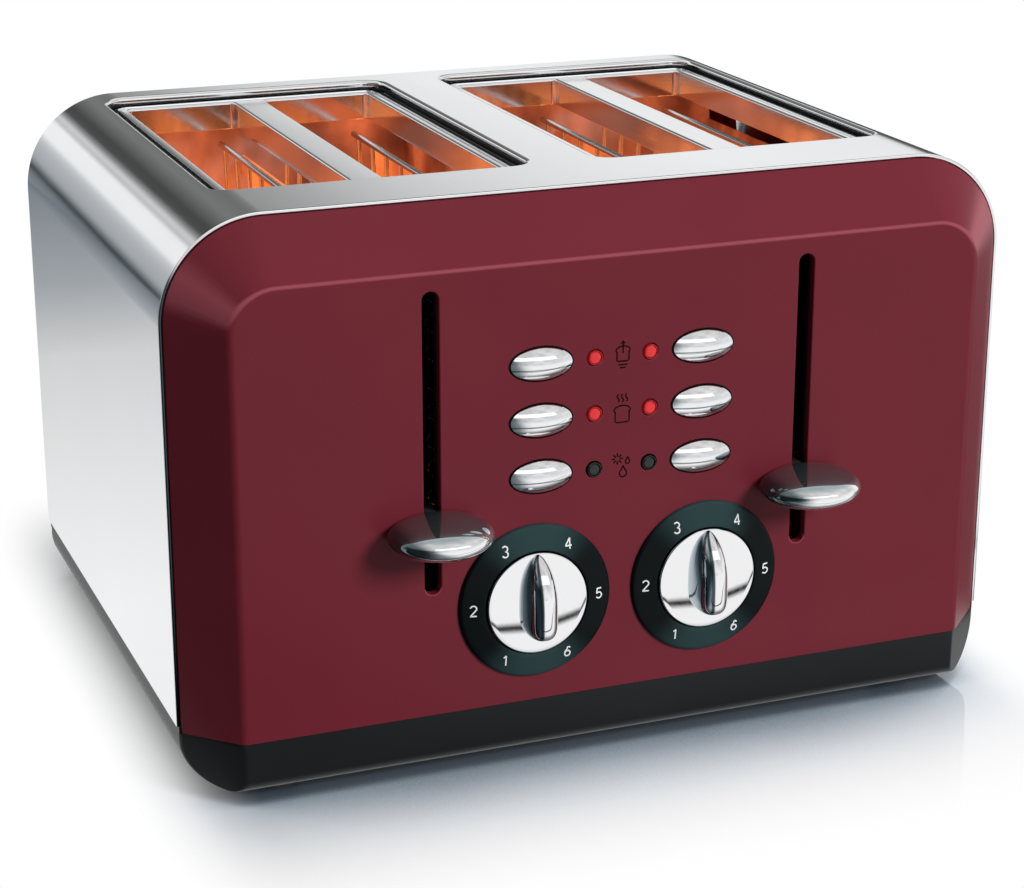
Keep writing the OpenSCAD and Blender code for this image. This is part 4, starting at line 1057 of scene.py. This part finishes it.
def grip_section(s):
    """Closed section of the finger grip across the dial, at s along it from heel to tip."""
    sunk = DISC_FACE - DISC_DOME - 0.4
    # The powers set how full its outline and its back are
    if s > GRIP_WIDEST:
        t = (s - GRIP_WIDEST) / (GRIP_TIP - GRIP_WIDEST)
        half = GRIP_HALF * max(0.0, 1 - t ** 2.8) ** 0.62
        rise = GRIP_H * (1 - 0.86 * t ** 2.6)
    else:
        t = (GRIP_WIDEST - s) / (GRIP_WIDEST - GRIP_HEEL)
        half = GRIP_HALF * max(0.0, 1 - t ** 4) ** 0.5
        rise = GRIP_H * max(0.0, 1 - t ** 6) ** 0.5
    half, rise = max(half, 0.25), max(rise, 0.6)
    return [
        (half * math.copysign(abs(across) ** 0.8, across), sunk + rise * max(0.0, up) ** 0.8)
        for across, up in arc(0, math.pi, GRIP_POINTS - 1)
    ]


def build_dial(word, side):
    name = "dial_knob_" + word
    centre = (side * DIAL_X, PAD, DIAL_Z)
    shaft_end = PAD - span("dial_shaft_" + word)[0].y + 0.05
    hub_end = PAD - span(name)[1].y
    top, edge = DISC_FACE - 0.05, DISC_R - 0.5
    dome = [(edge * i / 12, top - DISC_DOME * (i / 12) ** 3) for i in range(13)]
    rim = dome[-1][1]
    make = Build()
    make.lathe(dome + [
        (DISC_R - 0.3, rim - 0.05), (DISC_R - 0.1, rim - 0.2), (DISC_R, rim - 0.5),
        (DISC_R, DISC_BACK + 0.3), (DISC_R - 0.3, DISC_BACK), (HUB_R, DISC_BACK), (HUB_R, hub_end + 0.3),
        (HUB_R - 0.3, hub_end), (SHAFT_R, hub_end), (SHAFT_R, shaft_end), (0, shaft_end),
    ], centre, "-Y", 160)
    rings = []
    for c, _ in arc(0, math.pi, GRIP_STATIONS):
        s = GRIP_HEEL + (GRIP_TIP - GRIP_HEEL) * (1 - c) / 2
        rings.append([turned(u, s, h, centre, "-Y") for u, h in grip_section(s)])
    make.loft(rings, caps=True)
    make.piece(name, dial_chrome, "chrome_trim", "dial_" + word, sharp=40, weighted=False)


for word, sign in SIDES.items():
    build_scale_ring(word, sign)
    build_dial(word, sign)

# Push buttons: oval domes with a skirt, a flange behind the panel and a stem, in black liners
BUTTON_POINTS, BUTTON_STEPS, BUTTON_RIM = 96, 16, 0.5
STEM_W, BUTTON_FLANGE, BUTTON_FLANGE_T = 5.0, 1.5, 1.2
LINER_CLEAR, LINER_BACK, LINER_PROUD, LINER_SOFT = 0.14, 2.4, 0.12, 0.08


def button_ring(side, row, width, height, depth):
    outline = oval(width, height, BUTTON_POINTS)
    return [(side * BUTTON_X + u, PAD + depth, ROWS[row - 1] + v) for u, v in outline]


def build_button(word, side, row):
    name = f"button_{word}_{row}"
    stem_end = span(name)[1].y - PAD
    flange = BUTTON_W + 2 * BUTTON_FLANGE, BUTTON_H + 2 * BUTTON_FLANGE
    front = WALL + 0.2
    rear = front + BUTTON_FLANGE_T
    sections = []
    for share in (i / BUTTON_STEPS for i in range(1, BUTTON_STEPS + 1)):
        depth = -BUTTON_RIM - (BUTTON_PROUD - BUTTON_RIM) * (1 - share ** 2)
        sections.append((BUTTON_W * share, BUTTON_H * share, depth))
    sections += [
        (BUTTON_W, BUTTON_H, -0.2), (BUTTON_W, BUTTON_H, front), (*flange, front), (*flange, rear),
        (STEM_W, STEM_W, rear), (STEM_W, STEM_W, stem_end),
    ]
    make = Build()
    rings = make.loft([button_ring(side, row, *section) for section in sections])
    make.fan(make.ring([(side * BUTTON_X, PAD - BUTTON_PROUD, ROWS[row - 1])])[0], rings[0])
    make.bm.faces.new(rings[-1])
    make.piece(name, button_chrome, "chrome_trim", name, sharp=50)


def build_liners():
    """Black liners in the six button holes, just clear of the buttons; their black also stands in for
    the shade in the gap round each button.
    """
    make = Build()
    lip, wall = BUTTON_GAP + BUTTON_SOFT, BUTTON_GAP - 0.02
    section = [(wall, LINER_BACK), (wall, 0.2), (lip, -0.02), (lip, -0.08),
               (lip - LINER_SOFT, -LINER_PROUD), (LINER_CLEAR + LINER_SOFT, -LINER_PROUD),
               (LINER_CLEAR, -0.06), (LINER_CLEAR, LINER_BACK)]
    for side in SIDES.values():
        for row in (1, 2, 3):
            make.loft([button_ring(side, row, BUTTON_W + 2 * grow, BUTTON_H + 2 * grow, depth)
                       for grow, depth in section + section[:1]])
    make.trim("button_liners", print_and_shade_black, sharp=50)


for word, sign in SIDES.items():
    for row in (1, 2, 3):
        build_button(word, sign, row)
build_liners()


# Lamps: a moulded rim round a low lens
def build_lamps(name, rows, slot, lens_material, rim_material):
    rims, lenses = Build(), Build()
    lens_r, back = LAMP_R - 0.6, PAD - span(name)[1].y
    bore, rim_back, sill, swell = lens_r + 0.02, back + 0.6, 0.18, 0.5
    rim = [(LAMP_R, rim_back), (LAMP_R, 0.35), (LAMP_R - 0.12, 0.58), (LAMP_R - 0.34, 0.66),
           (lens_r + 0.1, 0.5), (bore, 0.2), (bore, rim_back)]
    dome = [(lens_r * s, sill + swell * c) for c, s in arc(0, QUARTER, 8)]
    for side in SIDES.values():
        for row in rows:
            centre = (side * LAMP_X, PAD, ROWS[row - 1])
            rims.lathe(rim, centre, "-Y", 40, wrap=True)
            lenses.lathe(dome + [(lens_r, back), (0, back)], centre, "-Y", 40)
    lenses.piece(name, lens_material, slot, sharp=50)
    rims.piece(name + "_rims", rim_material, slot, solid=False, sharp=50)


build_lamps("lamps_lit", (1, 2), "lamp_red", lamp_lit, lamp_rim)
build_lamps("lamps_dark", (3,), "lamp_dark", lamp_dark, lamp_dark)

# Printed symbols between the lamps: toast and arrow, toast and heat, ice and drops
PRINT = 0.05


def slice_outline(z, width, height):
    """A slice of bread: straight sides under a rounded crown with two shoulders."""
    foot, side, shoulder = width / 2 - 0.6, width / 2 - 0.1, z + height * 0.62
    crown_half, crown_z, crown_h = width * 0.56, z + height * 0.74, height * 0.26
    turn = arc(1.2 * math.pi, -0.2 * math.pi, 12)
    crown = [(crown_half * c, crown_z + crown_h * s) for c, s in turn]
    return [(-foot, z), (-side, z + 0.3), (-side, shoulder), *crown,
            (side, shoulder), (side, z + 0.3), (foot, z), (-foot, z)]


def drop_outline(x, z, size):
    return [(x, z + size), *bend(x, z, size / 2, 50, -230, 12), (x, z + size)]


def build_symbol(name, strokes):
    make = Build()
    for points in strokes:
        stroke(make, points, PRINT, PRINT, lambda x, z, lift: (x, PAD - lift, z))
    make.trim(name, print_and_shade_black)


def build_symbols():
    lift, warm, frozen = ROWS
    build_symbol("symbol_lift", [
        slice_outline(lift - 2.2, 4.5, 5.1), [(0, lift + 0.5), (0, lift + 4.6)],
        [(-0.75, lift + 3.75), (0, lift + 4.6), (0.75, lift + 3.75)],
        [(-1.6, lift - 3.4), (1.6, lift - 3.4)], [(-1.0, lift - 4.4), (1.0, lift - 4.4)],
    ])
    wave = [(0.35 * s, warm + 3.0 + 0.28 * i) for i, (_, s) in enumerate(arc(0, TURN, 10))]
    build_symbol("symbol_warm", [slice_outline(warm - 4.0, 5.2, 5.8)]
                 + [[(x + u, z) for u, z in wave] for x in (-1.5, 0, 1.5)])
    flake_x, flake_z, flake_in, flake_out = -1.5, frozen + 2.6, 0.75, 2.0
    flake = [[(flake_x + r * c, flake_z + r * s) for r in (flake_in, flake_out)]
             for c, s in arc(0, TURN, 8)[:-1]]
    build_symbol("symbol_frozen", flake + [
        drop_outline(2.2, frozen + 1.4, 1.6), drop_outline(0.6, frozen - 2.6, 2.6),
    ])


build_symbols()

# Heater windings and carriage springs, as one unbroken tube each
WIRE_LOW, WIRE_PITCH, WIRE_LOOPS = 59.0, 9.118, 11
WIRE_OFF, WIRE_R = 1.1, 0.5
WIRE_FRONT, TURN_FRONT, TURN_REAR = 46.0, 52.0, 212.6
CARD_X = 53.0
SPRING_X, SPRING_DEPTH, SPRING_R, SPRING_WIRE = 53.5, 29.0, 4.5, 0.5
SPRING_CURLS, CURL_STEPS = 10, 24


def winding(x):
    """Path of a wire that rises as it goes round a card's rear and front edges in turn."""
    top = WIRE_LOW + WIRE_LOOPS * WIRE_PITCH
    ends = (WIRE_FRONT, WIRE_FRONT + 4 * WIRE_R)
    path = [((x - WIRE_OFF, PAD + y, WIRE_LOW), (-1, 0, 0)) for y in ends]
    for k in range(1, 2 * WIRE_LOOPS):
        sign, depth = (1, TURN_REAR) if k % 2 else (-1, TURN_FRONT)
        for c, s in arc(0, math.pi, 8):
            n = (-sign * c, sign * s, 0)
            at = (x + WIRE_OFF * n[0], PAD + depth + WIRE_OFF * n[1], WIRE_LOW + k / 2 * WIRE_PITCH)
            path.append((at, n))
    return path + [((x + WIRE_OFF, PAD + y, top), (1, 0, 0)) for y in reversed(ends)]


def build_windings(word, side):
    make = Build()
    for offset in (-CARD_X, 0, CARD_X):
        make.tube(winding(side * PAIR_X + offset), WIRE_R)
    make.piece("heater_wires_" + word, hot_wire, "heater_wire", weighted=False)


def build_spring(word, side):
    name = "carriage_spring_" + word
    low, high = span(name)
    foot, head = low.z + 2 * SPRING_WIRE, high.z - 2 * SPRING_WIRE
    steps = CURL_STEPS * SPRING_CURLS
    path = []
    for i, (c, s) in enumerate(arc(0, side * TURN * SPRING_CURLS, steps)):
        n = (side * c, side * s, 0)
        at = (side * SPRING_X + SPRING_R * n[0], PAD + SPRING_DEPTH + SPRING_R * n[1],
              foot + (head - foot) * i / steps)
        path.append((at, n))
    make = Build()
    make.tube(path, SPRING_WIRE)
    piece = make.piece(name, spring_steel, "spring_steel", weighted=False)
    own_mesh(piece)


for word, sign in SIDES.items():
    build_windings(word, sign)
    build_spring(word, sign)

# Fittings at the back
GLAND_RIM, GLAND_BORE, GLAND_NECK, GLAND_NUT = 8.5, 3.6, 6.0, 4.0
REAR_SCREW_R = 1.5
CROSS_HALF, CROSS_ARM, CROSS_DEPTH = 0.45, 1.9, 1.0


def build_gland():
    out, back = span("cord_gland")[1].y - BACK, -WALL - GLAND_NUT
    make = Build()
    make.lathe([
        (GLAND_BORE, out), (GLAND_BORE + 0.4, out), (GLAND_RIM - 0.8, out), (GLAND_RIM - 0.2, out - 0.3),
        (GLAND_RIM, out - 0.9), (GLAND_RIM, 0), (GLAND_NECK, 0), (GLAND_NECK, -WALL), (GLAND_RIM, -WALL),
        (GLAND_RIM, back), (GLAND_BORE, back),
    ], (GLAND[0], BACK, GLAND[1]), "+Y", 64, wrap=True)
    make.piece("cord_gland", dark_parts, "dark_parts")


def build_rear_screws():
    make, cutter = Build(), Build()
    low, high = span("rear_screws")
    head, tip = high.y - BACK, low.y - BACK
    dome = [(REAR_HEAD_R * s, head * (0.3 + 0.7 * c)) for c, s in arc(0, QUARTER, 6)]
    h, a = CROSS_HALF, CROSS_ARM
    cross = [(-h, -a), (h, -a), (h, -h), (a, -h), (a, h), (h, h),
             (h, a), (-h, a), (-h, h), (-a, h), (-a, -h), (-h, -h)]
    for x, z in REAR_SCREWS:
        make.lathe(dome + [(REAR_HEAD_R, 0), (REAR_SCREW_R, 0), (REAR_SCREW_R, tip), (0, tip)],
                   (x, BACK, z), "+Y", 40)
        cutter.loft([[(x + u, BACK + y, z + v) for u, v in cross]
                     for y in (head - CROSS_DEPTH, head + CROSS_DEPTH)], caps=True)
    carve(make.piece("rear_screws", zinc, "screw_steel"), cutter)


build_gland()
build_rear_screws()

# Finishes of the solids that are shown as they are, with painted heater light on the rear bulkhead and
# the heat shields, where a star stands for left and right
LOOKS = {
    galvanised: ["crumb_tray_*", "bread_lift_*"],
    heater_lit_sheet: ["rear_bulkhead", "heat_shields"],
    dark_parts: ["front_bulkhead", "carriage_*", "push_switches", "potentiometer_*"],
    mica: ["heater_cards_*"],
    plated: ["guide_rod_*"] + [f"bread_guide_*_{i}" for i in (1, 2, 3, 4)],
    zinc: ["small_screws", "dial_shaft_*"],
    copper: ["magnet_*"],
    board: ["control_board"],
    ivory: ["terminal_block"],
}
for material, names in LOOKS.items():
    for node_name in sorted({name.replace("*", word) for name in names for word in SIDES}):
        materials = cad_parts[node_name].data.materials
        materials.clear()
        materials.append(material)

# Stage: floor, reflection cards, world, lamps and camera
FLOOR_REACH, FLOOR_FILL = 6000, 0.18
CONTACT_SHADOW_REACH = 85
PLAN_IN_X, PLAN_IN_Y, NEAR_REACH, SIDEWAYS = 12, 6, 100, 3.4
LEFT_FROM, LEFT_TO, LEFT_SHARE = 25 - HALF, -5 - HALF, 0.58
FRONT_FROM, FRONT_TO, FRONT_LEAST = PAD - 75, PAD - 5, 0.12
BEHIND_FROM, BEHIND_TO, BEHIND_LEAST = 80, 430, 0.72
SEEN_FROM_Z = 90
FLOOR_SHADE = [(0.30, (0.090, 0.117, 0.152)), (0.52, (0.43, 0.52, 0.62)), (0.70, (0.83, 0.92, 1.0)),
               (0.86, (0.96, 0.98, 1.0))]
SIDE_TONES = [(0.10, (0.03, 0.05, 0.055)), (0.38, (0.22, 0.25, 0.27)), (0.62, (0.8, 0.82, 0.84)),
              (0.85, (1.0, 1.0, 1.0))]


def sheet(name, low, high, material):
    """A rectangle between two opposite corners, level or facing along y."""
    outline = [low, (high[0], low[1], low[2]), high, (low[0], high[1], high[2])]
    mesh = bpy.data.meshes.new(name)
    mesh.from_pydata([Vector(c) * MM for c in outline], [], [(0, 1, 2, 3)])
    mesh.materials.append(material)
    thing = add_object(name, mesh)
    return thing


def card(name, low, high, shade=None, strength=1.0):
    """A bright sheet that only polished surfaces see. shade(tree) gives the colours on it."""
    material, tree = new_material(name)
    tree.nodes.clear()
    light = add_node(tree, "Emission", [("Strength", strength)])
    if shade:
        tree.links.new(shade(tree), light.inputs["Color"])
    add_node(tree, "OutputMaterial", [("Surface", light.outputs["Emission"])])
    thing = sheet(name, low, high, material)
    for ray in ("camera", "diffuse", "shadow", "transmission"):
        setattr(thing, "visible_" + ray, False)


def side_ramp(tree, across):
    """What polished things see in front of the toaster: pale to the right and dim to the left."""
    return ramped(tree, between(tree, across, -0.8, 0.0), SIDE_TONES)


def build_floor():
    """Pale glossy floor near the toaster, which passes into plain white further out."""
    material, tree = new_material("pale_floor")
    inputs(material)["Roughness"].default_value = 0.05
    inputs(material)["IOR"].default_value = 1.9
    # Painted shadow: the floor's colour darkens to blue-grey where ambient occlusion finds the toaster
    # close by
    contact_shadow = add_node(tree, "AmbientOcclusion", [("Distance", CONTACT_SHADOW_REACH * MM)], samples=8).outputs["AO"]
    drive(material, "Base Color", ramped(tree, contact_shadow, FLOOR_SHADE))
    where = place_on(tree)
    place = parts(tree, where)
    # Near the toaster's plan, less far to the sides, and less of it at the left
    half = ((HALF - PLAN_IN_X) * MM, ((BACK - PAD) / 2 - PLAN_IN_Y) * MM, 10.0)
    off = vector_maths(tree, "SUBTRACT", where, (0.0, (PAD + BACK) / 2 * MM, 0.0))
    off = vector_maths(tree, "SUBTRACT", vector_maths(tree, "ABSOLUTE", off), half)
    off = vector_maths(tree, "MAXIMUM", off, (0.0, 0.0, 0.0))
    off = vector_maths(tree, "MULTIPLY", off, (SIDEWAYS, 1.0, 1.0))
    away = add_node(tree, "VectorMath", [(0, off)], operation="LENGTH").outputs["Value"]
    around = between(tree, away, 0.0, NEAR_REACH * MM, 1.0, 0.0, smooth=True)
    at_left = between(tree, place["X"], LEFT_FROM * MM, LEFT_TO * MM, 1.0, LEFT_SHARE, smooth=True)
    near = maths(tree, "MULTIPLY", around, at_left)
    # What polished things see of it: dark close in front, white behind, toned by side further in front
    in_front = between(tree, place["Y"], FRONT_FROM * MM, FRONT_TO * MM, 1.0, FRONT_LEAST, smooth=True)
    behind = maths(tree, "GREATER_THAN", place["Y"], PAD * MM)
    further = between(tree, place["Y"], BEHIND_FROM * MM, BEHIND_TO * MM, 1.0, BEHIND_LEAST)
    level = maths(tree, "MAXIMUM", maths(tree, "MULTIPLY", behind, further), in_front)
    spread = vector_maths(tree, "SUBTRACT", where, (0.0, PAD * MM, SEEN_FROM_Z * MM))
    sideways = parts(tree, vector_maths(tree, "NORMALIZE", spread))["X"]
    tone = mixed(tree, behind, side_ramp(tree, sideways), WHITE)
    seen = add_node(tree, "Emission", [("Color", tone), ("Strength", level)]).outputs["Emission"]
    paths = add_node(tree, "LightPath").outputs
    fill = between(tree, paths["Is Diffuse Ray"], 0.0, 1.0, 1.0, FLOOR_FILL)
    plain = add_node(tree, "Emission", [("Strength", fill)]).outputs["Emission"]
    glossy = tree.nodes["Principled BSDF"].outputs["BSDF"]
    direct = add_node(tree, "MixShader", [(0, near), (1, plain), (2, glossy)]).outputs["Shader"]
    both = add_node(tree, "MixShader", [(0, paths["Is Glossy Ray"]), (1, direct), (2, seen)])
    tree.links.new(both.outputs["Shader"], tree.nodes["Material Output"].inputs["Surface"])
    sheet("floor", (-FLOOR_REACH, -FLOOR_REACH, 0), (FLOOR_REACH, FLOOR_REACH, 0), material)


def grey(value, blue=0.0):
    return (value * (1 - blue), value, value * (1 + blue))


def along(axis, low, high, stops):
    """Shades a card along one axis between two places, in millimetres."""
    def shade(tree):
        share = between(tree, parts(tree, place_on(tree))[axis], low * MM, high * MM)
        return ramped(tree, share, [(at, grey(*tone)) for at, *tone in stops])
    return shade


# Tones of the backdrop by degrees about a point behind the toaster: brightness, and a share of blue
SWEEP_X, SWEEP_Z, SWEEP_TURN = -100.0, 200.0, 240
SWEEP_CUT = 320
SWEEP = [
    (1, 0.08), (9, 0.8), (20, 1.0), (30, 0.75), (38, 0.42), (48, 0.22), (58, 0.17), (82, 0.21),
    (98, 0.13), (108, 0.07), (119, 0.08), (125, 0.30), (131, 0.72), (137, 0.58), (142, 1.0), (161, 1.0),
    (167, 0.66, 0.02), (176, 0.52, 0.03), (190, 0.44, 0.05), (196, 0.22, 0.1), (201, 0.02, 0.1),
    (207, 0.2, 0.12), (224, 0.30, 0.12),
]


def sweep(tree):
    """Shades the backdrop that the rounded steel sees by direction."""
    place = parts(tree, place_on(tree))
    across = maths(tree, "SUBTRACT", place["X"], SWEEP_X * MM)
    up = maths(tree, "SUBTRACT", place["Z"], SWEEP_Z * MM)
    limits = math.radians(SWEEP_CUT), math.radians(SWEEP_CUT - 360)
    turn = maths(tree, "WRAP", maths(tree, "ARCTAN2", up, across), *limits)
    share = between(tree, turn, 0.0, math.radians(SWEEP_TURN))
    return ramped(tree, share, [(at / SWEEP_TURN, grey(*tone)) for at, *tone in SWEEP])


def build_cards():
    """Backdrop, a soft strip high in front, and shades beside the toaster and on the floor before it."""
    card("backdrop_sweep", (-1600, 900, 2), (1600, 900, 1400), sweep)
    card("ridge_strip", (-500, PAD - 800, 510), (900, PAD - 800, 890), strength=1.25)
    card("side_shade", (-900, 430, 1), (-170, 430, 105),
         along("Z", 0, 105, [(0.0, 0.70), (0.35, 0.42, 0.06), (1.0, 0.20, 0.14)]))
    near, far = PAD - 99.6, PAD - 115.6
    card("front_strip", (-80, far, 1), (260, near, 1),
         along("Y", far, near, [(0.0, 0.9), (0.4, 0.03), (0.6, 0.03), (1.0, 0.9)]))
    card("right_shade", (190, -100, 1), (900, 300, 1),
         along("X", 190, 900, [(0.0, 0.5), (0.03, 0.12), (1.0, 0.16)]))


def build_world():
    """White to the camera, dimmer in front to polished things, and a fill that is softer at the left."""
    world = bpy.data.worlds.new("studio")
    bpy.context.scene.world = world
    world.use_nodes = True
    tree = world.node_tree
    way = add_node(tree, "TexCoord").outputs["Generated"]
    part = parts(tree, way)
    forward = between(tree, part["Y"], 0.30, 0.0, smooth=True)
    high = between(tree, part["Z"], 0.22, 0.65, smooth=True)
    cloud = add_node(tree, "TexNoise", [("Vector", way), ("Scale", 3.0), ("Detail", 3.0)]).outputs["Fac"]
    softbox = between(tree, cloud, 0.35, 0.65, 0.7, 1.0)
    dimmed = maths(tree, "MULTIPLY", softbox, between(tree, part["Z"], 0.05, 0.35, 1.0, 0.86))
    ahead = mixed(tree, high, side_ramp(tree, part["X"]), WHITE)
    mirrored = mixed(tree, forward, WHITE, mixed(tree, 1.0, ahead, dimmed, "MULTIPLY"))
    fill = between(tree, part["X"], -0.8, 0.8, 0.04, 0.4)
    paths = add_node(tree, "LightPath").outputs
    plain = maths(tree, "MAXIMUM", paths["Is Camera Ray"], paths["Is Transmission Ray"])
    shown = mixed(tree, plain, mixed(tree, paths["Is Glossy Ray"], fill, mirrored), WHITE)
    sky = tree.nodes["Background"]
    sky.inputs["Strength"].default_value = 1.0
    tree.links.new(shown, sky.inputs["Color"])


def lamp(name, source, target, size, energy):
    data = bpy.data.lights.new(name, "AREA")
    data.shape, data.size, data.energy = "DISK", size, energy
    thing = add_object(name, data)
    thing.location = source
    thing.rotation_mode = "QUATERNION"
    thing.rotation_quaternion = (Vector(target) - Vector(source)).to_track_quat("-Z", "Y")
    thing.visible_glossy = False


build_floor()
build_cards()
build_world()
lamp("key", (1.16, -2.1, 1.28), (0, -0.1, 0.1), 0.9, 62)
lamp("top", (0.2, 0.1, 1.9), (0, 0, 0), 1.6, 11)

camera = bpy.data.cameras.new("camera")
camera.lens, camera.sensor_width, camera.sensor_fit = 88.44, 36.0, "HORIZONTAL"
eye = add_object("camera", camera)
eye.location = (-0.3198, PAD * MM - 0.7207, 0.3769)
eye.rotation_euler = (math.radians(90 - 18.724), 0, math.radians(-21.292))
bpy.context.scene.camera = eye
bpy.context.scene.view_settings.view_transform = "Standard"
